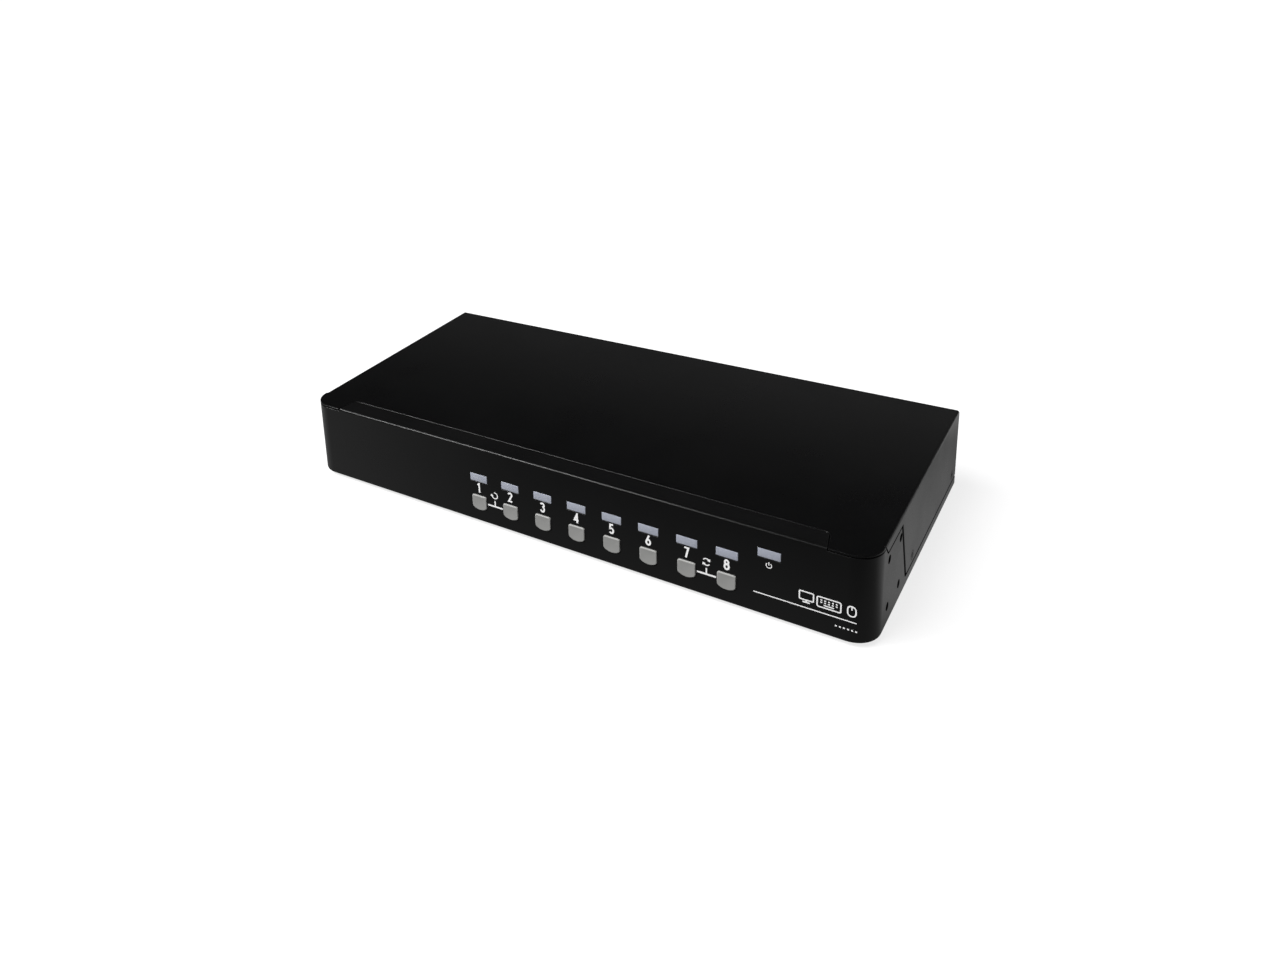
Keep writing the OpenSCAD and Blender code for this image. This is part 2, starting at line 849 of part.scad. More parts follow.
module ps2_housing() {
    height = ps2_low_z - board_top_z + ps2_rise + ps2_w / 2;
    color("#19191b") difference() {
        translate([ps2_x - ps2_w / 2, rear_inner_y - board_gap - ps2_d, board_top_z])
            cube([ps2_w, ps2_d, height]);
        for (rise = [0, ps2_rise]) translate([ps2_x, 0, ps2_low_z + rise])
            rod_y(ps2_nose_r + close_gap, rear_inner_y - ps2_nose_d - board_gap, rear_inner_y);
    }
}

// Round socket with a ring groove for the plug's shell, pin holes and a key slot
module ps2_socket(z) {
    face_y = case_d + ps2_nose_proud;
    translate([ps2_x, 0, z]) difference() {
        rod_y(ps2_nose_r, rear_inner_y - ps2_nose_d, face_y);
        difference() {
            rod_y(ps2_groove_r, face_y - ps2_groove_d, face_y + EPS);
            rod_y(ps2_insert_r, face_y - ps2_groove_d - PAST, face_y - ps2_insert_recess);
        }
        for (p = ps2_pins) translate([p[0], 0, p[1]])
            rod_y(contact_r, face_y - ps2_groove_d, face_y);
        along_y(face_y - ps2_groove_d, face_y)
            translate([0, ps2_key_z]) square(ps2_key, center = true);
    }
}

module keyboard_socket() {
    color("#6b4aa0") ps2_socket(ps2_low_z);
}

module mouse_socket() {
    color("#3f9c57") ps2_socket(ps2_low_z + ps2_rise);
}

// --- USB ports and power jack ----------------------------------------------

module usb_shell() {
    face_y = case_d + usb_proud;
    color("silver") translate([usb_x, 0, usb_z]) difference() {
        along_y(face_y - usb_d, face_y) rounded_rect(usb_size, usb_corner_r);
        for (side = SIDES)
            along_y(face_y - usb_hole_d, face_y + PAST)
                translate([0, side * usb_rise / 2]) square(usb_hole, center = true);
    }
}

module usb_tongues() {
    pocket_y = case_d + usb_proud - usb_hole_d;
    color("#101012") for (side = SIDES)
        along_y(pocket_y, pocket_y + usb_tongue_d)
            translate([usb_x, usb_z + side * usb_rise / 2 + usb_tongue_lift])
            square(usb_tongue, center = true);
}

module power_jack() {
    body_y = rear_inner_y - board_gap;
    color("#151516") translate([jack_x, 0, 0]) difference() {
        union() {
            translate([-jack_size[0] / 2, body_y - jack_d, board_top_z])
                cube([jack_size[0], jack_d, jack_size[1]]);
            translate([0, 0, jack_z]) rod_y(jack_collar_r, body_y - jack_collar_root, case_d);
        }
        translate([0, 0, jack_z]) rod_y(jack_bore_r, case_d - jack_bore_d, case_d + EPS);
    }
}

module power_jack_pin() {
    color("silver") translate([jack_x, 0, jack_z])
        rod_y(jack_pin_r, case_d - jack_bore_d, case_d - jack_pin_recess);
}

// --- Components on the main board ------------------------------------------

module main_processor() {
    color("#17171a") block(processor_size, [processor_at[0], processor_at[1], board_top_z]);
}

// A pair of video amplifiers and an emulation chip behind each stack
module port_chips() {
    color("#17171a") for (i = [0 : STACKS - 1]) {
        x = first_stack_x + i * stack_pitch;
        for (side = SIDES) block(amplifier_size, [x + side * amplifier_x, amplifier_y, board_top_z]);
        block(emulator_size, [x, emulator_y, board_top_z]);
    }
}

module capacitors() {
    color("#26304a") {
        for (y = input_can_y)
            translate([input_can_x, y, board_top_z]) cylinder(r = input_can[0], h = input_can[1]);
        for (x = output_can_x, y = output_can_y)
            translate([x, y, board_top_z]) cylinder(r = output_can[0], h = output_can[1]);
    }
}

module crystals() {
    color("silver") for (x = crystal_x) block(crystal_size, [x, crystal_y, board_top_z]);
}

module buzzer() {
    color("#131313") translate([buzzer_at[0], buzzer_at[1], board_top_z]) difference() {
        cylinder(r = buzzer_r, h = buzzer_h);
        translate([0, 0, buzzer_h / 2]) cylinder(r = buzzer_port_r, h = buzzer_h);
    }
}

module regulator() {
    color("#17171a")
        block(regulator_size, [regulator_x, sink_y + (sink_t + regulator_size[1]) / 2, board_top_z]);
}

module heatsink() {
    color("silver") {
        block([sink_w, sink_t, sink_h], [regulator_x, sink_y, board_top_z]);
        for (i = [0 : fins - 1]) {
            x = regulator_x + (i / (fins - 1) - 0.5) * (sink_w - fin_t);
            block([fin_t, fin_d + EPS, sink_h], [x, sink_y - (sink_t + fin_d) / 2, board_top_z]);
        }
    }
}

module power_inductor() {
    color("#3a3a3c") block(inductor_size, [inductor_at[0], inductor_at[1], board_top_z]);
}

// --- Assembly --------------------------------------------------------------

foot_front_y = foot_inset;
foot_rear_y = case_d - foot_inset;

place() {
    base_chassis();
    top_cover();
    cover_screws();
    foot(-1, foot_front_y);  // foot_front_left
    foot(1, foot_front_y);  // foot_front_right
    foot(-1, foot_rear_y);  // foot_rear_left
    foot(1, foot_rear_y);  // foot_rear_right
    for (i = [1 : PORTS]) {
        button(i);
        switch_stem(i);
    }
    tact_switches();
    switch_domes();
    port_windows();
    power_window();
    port_leds();
    power_led();
    front_board();
    front_board_standoffs();
    front_board_screws();
    ribbon_cable();
    ribbon_plugs();
    ribbon_headers();
    main_board();
    main_board_standoffs();
    main_board_screws();
    video_shells(pc_places);  // pc_port_shells
    video_inserts(pc_places);  // pc_port_inserts
    pc_port_housings();
    video_shells(console_places);  // console_port_shell
    video_inserts(console_places);  // console_port_insert
    console_port_housing();
    port_jackscrews();
    ps2_housing();
    keyboard_socket();
    mouse_socket();
    usb_shell();
    usb_tongues();
    power_jack();
    power_jack_pin();
    main_processor();
    port_chips();
    capacitors();
    crystals();
    buzzer();
    regulator();
    heatsink();
    power_inductor();
}
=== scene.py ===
import json
import math

import bmesh
import bpy
from mathutils import Matrix, Vector

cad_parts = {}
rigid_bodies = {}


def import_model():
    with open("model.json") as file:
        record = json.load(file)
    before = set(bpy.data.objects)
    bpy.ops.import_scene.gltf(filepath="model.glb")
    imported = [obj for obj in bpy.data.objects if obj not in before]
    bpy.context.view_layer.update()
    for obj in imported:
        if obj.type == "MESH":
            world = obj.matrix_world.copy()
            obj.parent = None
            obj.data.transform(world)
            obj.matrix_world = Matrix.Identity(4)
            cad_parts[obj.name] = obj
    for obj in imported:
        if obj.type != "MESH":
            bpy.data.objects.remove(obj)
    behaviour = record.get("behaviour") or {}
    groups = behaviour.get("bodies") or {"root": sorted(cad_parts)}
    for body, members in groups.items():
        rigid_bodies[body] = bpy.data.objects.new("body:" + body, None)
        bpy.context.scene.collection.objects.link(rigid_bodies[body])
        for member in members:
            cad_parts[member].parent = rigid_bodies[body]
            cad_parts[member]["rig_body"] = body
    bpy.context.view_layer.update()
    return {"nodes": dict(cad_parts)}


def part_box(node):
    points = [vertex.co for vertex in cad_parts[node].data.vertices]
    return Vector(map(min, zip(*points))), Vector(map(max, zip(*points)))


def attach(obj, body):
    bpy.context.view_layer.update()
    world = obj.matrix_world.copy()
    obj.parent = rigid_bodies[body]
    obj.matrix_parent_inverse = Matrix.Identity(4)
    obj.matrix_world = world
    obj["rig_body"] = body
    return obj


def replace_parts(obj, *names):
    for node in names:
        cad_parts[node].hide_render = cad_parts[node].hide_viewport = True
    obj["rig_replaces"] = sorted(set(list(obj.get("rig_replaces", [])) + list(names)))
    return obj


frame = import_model()
slot_of = {name: node.material_slots[0].material.name for name, node in frame["nodes"].items()}
for imported in list(bpy.data.materials):
    bpy.data.materials.remove(imported)

# ---------------------------------------------------------------------------
# Sizes. Everything is in metres; MM turns a size in millimetres into metres.
# ---------------------------------------------------------------------------

MM = 0.001
PORTS = range(1, 9)

base_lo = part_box("base_chassis")[0]
cover_lo, cover_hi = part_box("top_cover")
FRONT_Y = base_lo.y
REAR_Y = cover_hi.y
RELIEF_Y = 14.0 * MM

# Printed marks
INK_T = 0.03 * MM
DIGIT_W = 3.0 * MM
DIGIT_H = 5.7 * MM
DIGIT_STROKE = 0.95 * MM
DIGIT_FOOT_Z = 17.6 * MM
REAR_DIGIT_SCALE = 0.5
REAR_DIGIT_ASIDE = 16.0 * MM
REAR_DIGIT_LIFT = 3.9 * MM
PICTOGRAM_LINE = 0.62 * MM
MONITOR_X = 130.9 * MM
KEYBOARD_X = 140.7 * MM
MOUSE_X = 150.4 * MM
RULE_LEFT = 107.0 * MM
RULE_RIGHT = 152.6 * MM

# Button cap
BUTTON_W = 9.2 * MM
BUTTON_H = 8.6 * MM
SHOULDER_R = 1.2 * MM
JAW_R = 2.0 * MM
CHIN_R = 7.0 * MM
CAP_EDGE_R = 0.5 * MM
CAP_DISH = 0.09 * MM
CAP_FLANGE_Y = 1.15 * MM
CAP_FLANGE_T = 1.0 * MM
CAP_FLANGE_W = 11.2 * MM
CAP_BOSS_R = 2.9 * MM
STEM_POCKET_R = 1.8 * MM
STEM_POCKET_Y = 2.65 * MM

# Indicator windows
LENS_W = 10.6 * MM
LENS_H = 4.4 * MM
LENS_FLANGE = 0.8 * MM
LENS_FLANGE_Y = 1.0 * MM
LENS_FLANGE_T = 1.0 * MM
LENS_EDGE_R = 0.28 * MM
LENS_CORNER_R = 0.3 * MM

# Connectors on the rear
VIDEO_W = 15.4 * MM
VIDEO_RISE = 19.05 * MM
CONTACT_PITCH = 2.29 * MM
CONTACT_ROWS = 1.98 * MM
CONTACT_L = 2.4 * MM
CONTACT_R = 0.49 * MM
CONTACT_LIP_R = 0.43 * MM
CONTACT_BORE_R = 0.34 * MM
USB_TONGUE_T = 1.8 * MM

# Camera, as pan, tilt and roll in degrees
CAMERA_AT = (0.256577, -0.488382, 0.321963)
CAMERA_PAN = 36.68
CAMERA_TILT = -16.64
CAMERA_ROLL = -4.011
LENS = 30.26
SHIFT_X = 0.1457
SHIFT_Y = -0.2021


# ---------------------------------------------------------------------------
# Mesh helpers
# ---------------------------------------------------------------------------

def add_object(name, data):
    made = bpy.data.objects.new(name, data)
    bpy.context.scene.collection.objects.link(made)
    return made


def finish_mesh(name, bm, smooth_angle=35):
    """Turns a bmesh into an object with smooth shading up to an angle in degrees."""
    bmesh.ops.recalc_face_normals(bm, faces=bm.faces)
    mesh = bpy.data.meshes.new(name)
    bm.to_mesh(mesh)
    bm.free()
    mesh.polygons.foreach_set("use_smooth", [True] * len(mesh.polygons))
    mesh.set_sharp_from_angle(angle=math.radians(smooth_angle))
    return add_object(name, mesh)


def dress(piece, body, slot):
    """Gives a piece the finish of a material slot, and a body to ride on."""
    piece.data.materials.clear()
    piece.data.materials.append(finishes[slot])
    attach(piece, body)


def dress_extra(piece, material):
    """Gives a piece on the case a finish that has no material slot, such as ink or gold."""
    piece.data.materials.append(material)
    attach(piece, "case")


def body_of(node):
    return frame["nodes"][node]["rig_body"]


def soften(node, name, width, sharp_near=(), reach=0.0):
    """Stands in for a CAD node: a copy with its flat facets joined and its sharp edges rounded.

    Edges within reach of a point in sharp_near stay as they are.
    """
    angle = 28
    bm = bmesh.new()
    bm.from_mesh(frame["nodes"][node].data)
    bmesh.ops.remove_doubles(bm, verts=bm.verts, dist=0.0005 * MM)
    bmesh.ops.dissolve_limit(
        bm, angle_limit=math.radians(0.4), verts=bm.verts, edges=bm.edges, delimit={"NORMAL"}
    )
    weight = bm.edges.layers.float.new("bevel_weight_edge")
    for edge in bm.edges:
        near = any((vert.co - point).length < reach for vert in edge.verts for point in sharp_near)
        if not near and edge.calc_face_angle(0) > math.radians(angle):
            edge[weight] = 1.0
    piece = finish_mesh(name, bm, angle)
    bevel = piece.modifiers.new("rounded_edges", "BEVEL")
    bevel.width = width
    bevel.segments = 2
    bevel.limit_method = "WEIGHT"
    bevel.use_clamp_overlap = False
    bevel.miter_outer = "MITER_ARC"
    flats = piece.modifiers.new("true_flats", "WEIGHTED_NORMAL")
    flats.mode = "FACE_AREA"
    flats.weight = 90
    flats.keep_sharp = True
    dress(piece, body_of(node), slot_of[node])
    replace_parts(piece, node)


def arc(centre, radius, start, end, steps=8):
    """Points along an arc in the X and Z plane, with angles in degrees."""
    points = []
    for i in range(steps + 1):
        turn = math.radians(start + (end - start) * i / steps)
        points.append((centre[0] + radius * math.cos(turn), centre[1] + radius * math.sin(turn)))
    return points


def polar(outline, count):
    """Resamples a closed outline round the origin at equal angles."""
    points = []
    for i in range(count):
        turn = 2 * math.pi * i / count
        ray = (math.cos(turn), math.sin(turn))
        best = 0.0
        for a, b in zip(outline, outline[1:] + outline[:1]):
            edge = (b[0] - a[0], b[1] - a[1])
            cross = ray[0] * edge[1] - ray[1] * edge[0]
            if abs(cross) < 1e-15:
                continue
            along = (a[0] * edge[1] - a[1] * edge[0]) / cross
            share = (a[0] * ray[1] - a[1] * ray[0]) / cross
            if -1e-9 <= share <= 1 + 1e-9 and along > best:
                best = along
        points.append((ray[0] * best, ray[1] * best))
    return points


def loft(bm, rings, at):
    """Skins rings of equal length. A ring is (points in X and Z, Y); both ends are capped."""
    made = []
    for points, y in rings:
        made.append([bm.verts.new((at[0] + x, at[1] + y, at[2] + z)) for x, z in points])
    for low, high in zip(made, made[1:]):
        count = len(low)
        for i in range(count):
            j = (i + 1) % count
            bm.faces.new((low[i], low[j], high[j], high[i]))
    bm.faces.new(made[0])
    bm.faces.new(made[-1])


def circle(radius, count):
    return [
        (radius * math.cos(2 * math.pi * i / count), radius * math.sin(2 * math.pi * i / count))
        for i in range(count)
    ]


# ---------------------------------------------------------------------------
# Material helpers
# ---------------------------------------------------------------------------

class Shader:
    """A Principled material, with short calls for the textures that it is built from."""

    def __init__(self, name, colour, roughness, metallic=0.0, specular=0.5):
        self.material = bpy.data.materials.new(name)
        self.material.use_nodes = True
        self.tree = self.material.node_tree
        self.bsdf = self.tree.nodes["Principled BSDF"]
        self.bsdf.inputs["Base Color"].default_value = (*colour, 1)
        self.bsdf.inputs["Roughness"].default_value = roughness
        self.bsdf.inputs["Metallic"].default_value = metallic
        self.bsdf.inputs["Specular IOR Level"].default_value = specular
        coordinates = self.tree.nodes.new("ShaderNodeTexCoord")
        self.place = coordinates.outputs["Object"]

    def node(self, kind, **values):
        made = self.tree.nodes.new(kind)
        for name, value in values.items():
            setattr(made, name, value)
        return made

    def link(self, source, target):
        self.tree.links.new(source, target)

    def noise(self, size, detail=3.0, roughness=0.55, stretch=(1, 1, 1)):
        """Cloud noise whose grains are about size metres across."""
        mapping = self.node("ShaderNodeMapping")
        mapping.inputs["Scale"].default_value = stretch
        self.link(self.place, mapping.inputs["Vector"])
        made = self.node("ShaderNodeTexNoise")
        made.inputs["Scale"].default_value = 1 / size
        made.inputs["Detail"].default_value = detail
        made.inputs["Roughness"].default_value = roughness
        self.link(mapping.outputs["Vector"], made.inputs["Vector"])
        return made.outputs["Fac"]

    def grains(self, size):
        """Cells about size metres across, by their distance to the nearest middle."""
        made = self.node("ShaderNodeTexVoronoi", feature="SMOOTH_F1")
        made.inputs["Scale"].default_value = 1 / size
        self.link(self.place, made.inputs["Vector"])
        return made.outputs["Distance"]

    def spread(self, value, low, high, from_low=0.3, from_high=0.7, ease=False):
        """Maps a value on to a range, in a straight line or eased at both ends."""
        made = self.node("ShaderNodeMapRange", interpolation_type="SMOOTHSTEP" if ease else "LINEAR")
        made.inputs["From Min"].default_value = from_low
        made.inputs["From Max"].default_value = from_high
        made.inputs["To Min"].default_value = low
        made.inputs["To Max"].default_value = high
        self.link(value, made.inputs["Value"])
        return made.outputs["Result"]

    def tint(self, value, colours):
        """A colour ramp through evenly spaced colours."""
        made = self.node("ShaderNodeValToRGB")
        ramp = made.color_ramp
        ramp.elements[0].color = (*colours[0], 1)
        ramp.elements[1].color = (*colours[-1], 1)
        for i, colour in enumerate(colours[1:-1], 1):
            ramp.elements.new(i / (len(colours) - 1)).color = (*colour, 1)
        self.link(value, made.inputs["Fac"])
        return made.outputs["Color"]

    def math(self, operation, a, b):
        made = self.node("ShaderNodeMath", operation=operation)
        for socket, value in zip(made.inputs, (a, b)):
            if isinstance(value, (int, float)):
                socket.default_value = value
            else:
                self.link(value, socket)
        return made.outputs["Value"]

    def mix(self, share, low, high):
        """Mixes two colours by share."""
        made = self.node("ShaderNodeMix", data_type="RGBA")
        self.link(share, made.inputs[0])
        for socket, value in zip(made.inputs[6:8], (low, high)):
            if isinstance(value, tuple):
                socket.default_value = (*value, 1)
            else:
                self.link(value, socket)
        return made.outputs[2]

    def edges(self, radius):
        """A mask that is near 1 on edges and 0 on flats."""
        bevel = self.node("ShaderNodeBevel", samples=6)
        bevel.inputs["Radius"].default_value = radius
        geometry = self.node("ShaderNodeNewGeometry")
        dot = self.node("ShaderNodeVectorMath", operation="DOT_PRODUCT")
        self.link(bevel.outputs["Normal"], dot.inputs[0])
        self.link(geometry.outputs["Normal"], dot.inputs[1])
        return self.spread(dot.outputs["Value"], 1.0, 0.0, 0.80, 0.985)

    def bump(self, height, distance):
        made = self.node("ShaderNodeBump")
        made.inputs["Distance"].default_value = distance
        made.inputs["Strength"].default_value = 1.0
        self.link(height, made.inputs["Height"])
        self.link(made.outputs["Normal"], self.bsdf.inputs["Normal"])

    def set(self, socket, value):
        if isinstance(value, (int, float)):
            self.bsdf.inputs[socket].default_value = value
        else:
            self.link(value, self.bsdf.inputs[socket])

    def axes(self, source):
        """The X, Y and Z parts of a vector."""
        split = self.node("ShaderNodeSeparateXYZ")
        self.link(source, split.inputs["Vector"])
        return split.outputs

    def glow(self, strength):
        emission = self.node("ShaderNodeEmission")
        self.link(strength, emission.inputs["Strength"])
        return emission.outputs["Emission"]

    def show_to(self, ray, shader, otherwise):
        """Shows one shader to a kind of ray, and another to every other ray."""
        rays = self.node("ShaderNodeLightPath")
        choice = self.node("ShaderNodeMixShader")
        self.link(rays.outputs[ray], choice.inputs["Fac"])
        self.link(otherwise, choice.inputs[1])
        self.link(shader, choice.inputs[2])
        self.link(choice.outputs["Shader"], self.tree.nodes["Material Output"].inputs["Surface"])


# ---------------------------------------------------------------------------
# Finishes: one for each material slot of the CAD, then ink and gold, which have no slot
# ---------------------------------------------------------------------------

def powder_coat(name, dark, light):
    """Fine-textured black powder coat on sheet steel, with a painted highlight that makes its edges a
    little paler.
    """
    s = Shader(name, dark, 0.3)
    broad = s.noise(40 * MM, 2)
    fine = s.noise(0.7 * MM, 2)
    # Painted highlight: the edges, in patches, are paler and a little glossier.
    painted_edge_highlight = s.math("MULTIPLY", s.edges(0.5 * MM), s.spread(s.noise(5 * MM, 4), 0.25, 1.0))
    s.set("Base Color", s.mix(painted_edge_highlight, s.tint(broad, [dark, light]), (0.03, 0.03, 0.032)))
    rough = s.math("ADD", s.spread(broad, 0.28, 0.34), s.spread(fine, -0.02, 0.03))
    s.set("Roughness", s.math("SUBTRACT", rough, s.math("MULTIPLY", painted_edge_highlight, 0.08)))
    s.bump(s.math("ADD", s.grains(0.55 * MM), fine), 0.006 * MM)
    return s.material


def moulded_plastic(name, colour, roughness=0.45, grain=0.25 * MM, depth=0.004 * MM):
    """Spark-eroded moulded plastic: a fine even grain, with slightly paler edges as a painted highlight.
    """
    s = Shader(name, colour, roughness)
    fine = s.noise(grain, 2)
    broad = s.noise(12 * MM, 2)
    pale = tuple(min(1.0, c * 1.12 + 0.004) for c in colour)
    deep = tuple(c * 0.93 for c in colour)
    shown = s.tint(s.math("ADD", s.spread(fine, 0.2, 0.5), s.spread(broad, 0.0, 0.4)), [deep, pale])
    # Painted highlight: the edges are paler.
    bright = tuple(min(1.0, c * 1.25 + 0.01) for c in colour)
    s.set("Base Color", s.mix(s.spread(s.edges(0.25 * MM), 0.0, 0.5, 0.0, 1.0), shown, bright))
    s.set("Roughness", s.spread(broad, roughness - 0.05, roughness + 0.06))
    s.bump(fine, depth)
    return s.material


def button_plastic():
    s = Shader("button_plastic", (0.3, 0.3, 0.29), 0.4)
    fine = s.noise(0.18 * MM, 2)
    broad = s.noise(9 * MM, 2)
    shown = s.tint(s.spread(broad, 0.2, 0.8), [(0.28, 0.28, 0.273), (0.31, 0.31, 0.302)])
    # Painted highlight: the edges of the caps are paler.
    s.set("Base Color", s.mix(s.edges(0.35 * MM), shown, (0.4, 0.4, 0.39)))
    s.set("Roughness", s.spread(broad, 0.36, 0.46))
    s.bump(fine, 0.003 * MM)
    return s.material


def window_plastic():
    """Smoked milky light guide: light scatters under a smooth skin."""
    s = Shader("window_plastic", (0.42, 0.44, 0.50), 0.22)
    cloud = s.noise(3 * MM, 3)
    s.set("Base Color", s.tint(cloud, [(0.35, 0.37, 0.43), (0.4, 0.42, 0.485)]))
    s.set("Subsurface Weight", 0.35)
    s.bsdf.inputs["Subsurface Radius"].default_value = (1, 1, 1.2)
    s.set("Subsurface Scale", 0.6 * MM)
    s.set("Roughness", s.spread(s.noise(1.5 * MM, 3), 0.18, 0.3))
    s.bump(s.noise(2.5 * MM, 2), 0.003 * MM)
    return s.material


def rubber():
    s = Shader("foot_rubber", (0.018, 0.018, 0.018), 0.8, specular=0.3)
    dust = s.noise(2 * MM, 5, 0.7)
    s.set("Base Color", s.tint(dust, [(0.012, 0.012, 0.012), (0.03, 0.029, 0.028)]))
    s.set("Roughness", s.spread(dust, 0.72, 0.92))
    s.bump(s.noise(0.3 * MM, 3), 0.01 * MM)
    return s.material


def metal(name, dark, light, roughness, brushed=(1, 1, 1)):
    """Plated or plain metal with a soft mottling, fine scratches and paler edges, a painted highlight.
    """
    s = Shader(name, light, roughness, metallic=0.7)
    mottle = s.noise(2.5 * MM, 4)
    lines = s.noise(0.4 * MM, 3, stretch=brushed)
    shown = s.tint(mottle, [dark, light])
    # Painted highlight: the edges are paler.
    bright = tuple(min(1.0, c * 1.2) for c in light)
    s.set("Base Color", s.mix(s.spread(s.edges(0.2 * MM), 0, 0.6, 0, 1), shown, bright))
    s.set("Roughness", s.math("ADD", s.spread(mottle, roughness - 0.06, roughness + 0.08),
                              s.spread(lines, -0.04, 0.04)))
    s.bump(lines, 0.002 * MM)
    return s.material


def black_screw():
    s = Shader("black_screw", (0.012, 0.012, 0.013), 0.35, metallic=0.6)
    mottle = s.noise(0.8 * MM, 4)
    shown = s.tint(mottle, [(0.008, 0.008, 0.009), (0.02, 0.02, 0.022)])
    # Painted highlight: the edges are much paler.
    s.set("Base Color", s.mix(s.spread(s.edges(0.15 * MM), 0, 0.7, 0, 1), shown, (0.14, 0.135, 0.13)))
    s.set("Roughness", s.spread(mottle, 0.3, 0.5))
    s.bump(s.noise(0.2 * MM, 2), 0.003 * MM)
    return s.material


def led_resin():
    s = Shader("led_resin", (0.82, 0.83, 0.8), 0.15)
    s.set("Base Color", s.tint(s.noise(1 * MM, 2), [(0.74, 0.75, 0.7), (0.86, 0.87, 0.85)]))
    s.set("Subsurface Weight", 0.5)
    s.set("Subsurface Scale", 0.8 * MM)
    s.set("Roughness", s.spread(s.noise(0.6 * MM, 2), 0.1, 0.22))
    return s.material


def board_laminate():
    """Green solder mask over a glass weave and copper tracks."""
    s = Shader("board_laminate", (0.008, 0.06, 0.02), 0.3)
    tracks = s.node("ShaderNodeTexBrick", offset=0.5, squash=0.7)
    tracks.inputs["Scale"].default_value = 1 / (9 * MM)
    tracks.inputs["Mortar Size"].default_value = 0.03
    tracks.inputs["Color1"].default_value = (0, 0, 0, 1)
    tracks.inputs["Color2"].default_value = (0, 0, 0, 1)
    tracks.inputs["Mortar"].default_value = (1, 1, 1, 1)
    s.link(s.place, tracks.inputs["Vector"])
    weave = s.node("ShaderNodeTexWave", wave_profile="SIN")
    weave.inputs["Scale"].default_value = 1 / (2 * MM)
    s.link(s.place, weave.inputs["Vector"])
    mask = s.tint(s.noise(15 * MM, 3), [(0.006, 0.05, 0.016), (0.012, 0.085, 0.028)])
    s.set("Base Color", s.mix(tracks.outputs["Fac"], mask, (0.02, 0.12, 0.045)))
    s.set("Roughness", s.spread(s.noise(3 * MM, 3), 0.25, 0.4))
    s.bump(s.math("ADD", tracks.outputs["Fac"], s.math("MULTIPLY", weave.outputs["Fac"], 0.15)),
           0.02 * MM)
    return s.material


def ribbon_grey():
    """Flat cable: one rib for each conductor, across X."""
    s = Shader("ribbon_grey", (0.36, 0.37, 0.39), 0.5)
    ribs = s.node("ShaderNodeTexWave", bands_direction="X", wave_profile="SIN")
    ribs.inputs["Scale"].default_value = math.pi / (10 * 1.27 * MM)
    s.link(s.place, ribs.inputs["Vector"])
    # Painted shade: the colour is darker in the grooves between the ribs.
    s.set("Base Color", s.tint(ribs.outputs["Fac"], [(0.25, 0.255, 0.27), (0.42, 0.43, 0.45)]))
    s.set("Roughness", s.spread(s.noise(4 * MM, 3), 0.42, 0.58))
    s.bump(ribs.outputs["Fac"], 0.15 * MM)
    return s.material


def chip_epoxy():
    s = Shader("chip_epoxy", (0.02, 0.02, 0.021), 0.6)
    fine = s.noise(0.12 * MM, 3)
    s.set("Base Color", s.tint(fine, [(0.014, 0.014, 0.015), (0.03, 0.03, 0.031)]))
    s.set("Roughness", s.spread(s.noise(2 * MM, 3), 0.5, 0.68))
    s.bump(fine, 0.008 * MM)
    return s.material


def capacitor_sleeve():
    """Shrunk dark sleeve below a bare aluminium top."""
    s = Shader("capacitor_sleeve", (0.01, 0.015, 0.03), 0.3)
    normal = s.axes(s.node("ShaderNodeNewGeometry").outputs["Normal"])
    top = s.math("GREATER_THAN", normal["Z"], 0.8)
    sleeve = s.tint(s.noise(3 * MM, 3), [(0.008, 0.012, 0.026), (0.014, 0.02, 0.04)])
    s.set("Base Color", s.mix(top, sleeve, (0.6, 0.6, 0.62)))
    s.set("Metallic", top)
    s.set("Roughness", s.spread(s.noise(1 * MM, 3), 0.25, 0.4))
    s.bump(s.noise(0.8 * MM, 2), 0.01 * MM)
    return s.material


def marking_ink():
    """Screen-printed white ink, thin enough to show a little of the coat in its pinholes."""
    s = Shader("marking_ink", (0.9, 0.9, 0.9), 0.5)
    s.set("Base Color", s.tint(s.noise(0.25 * MM, 3), [(0.9, 0.9, 0.9), (0.97, 0.97, 0.97)]))
    s.set("Roughness", s.spread(s.noise(0.5 * MM, 2), 0.42, 0.6))
    s.bump(s.noise(0.3 * MM, 2), 0.002 * MM)
    return s.material


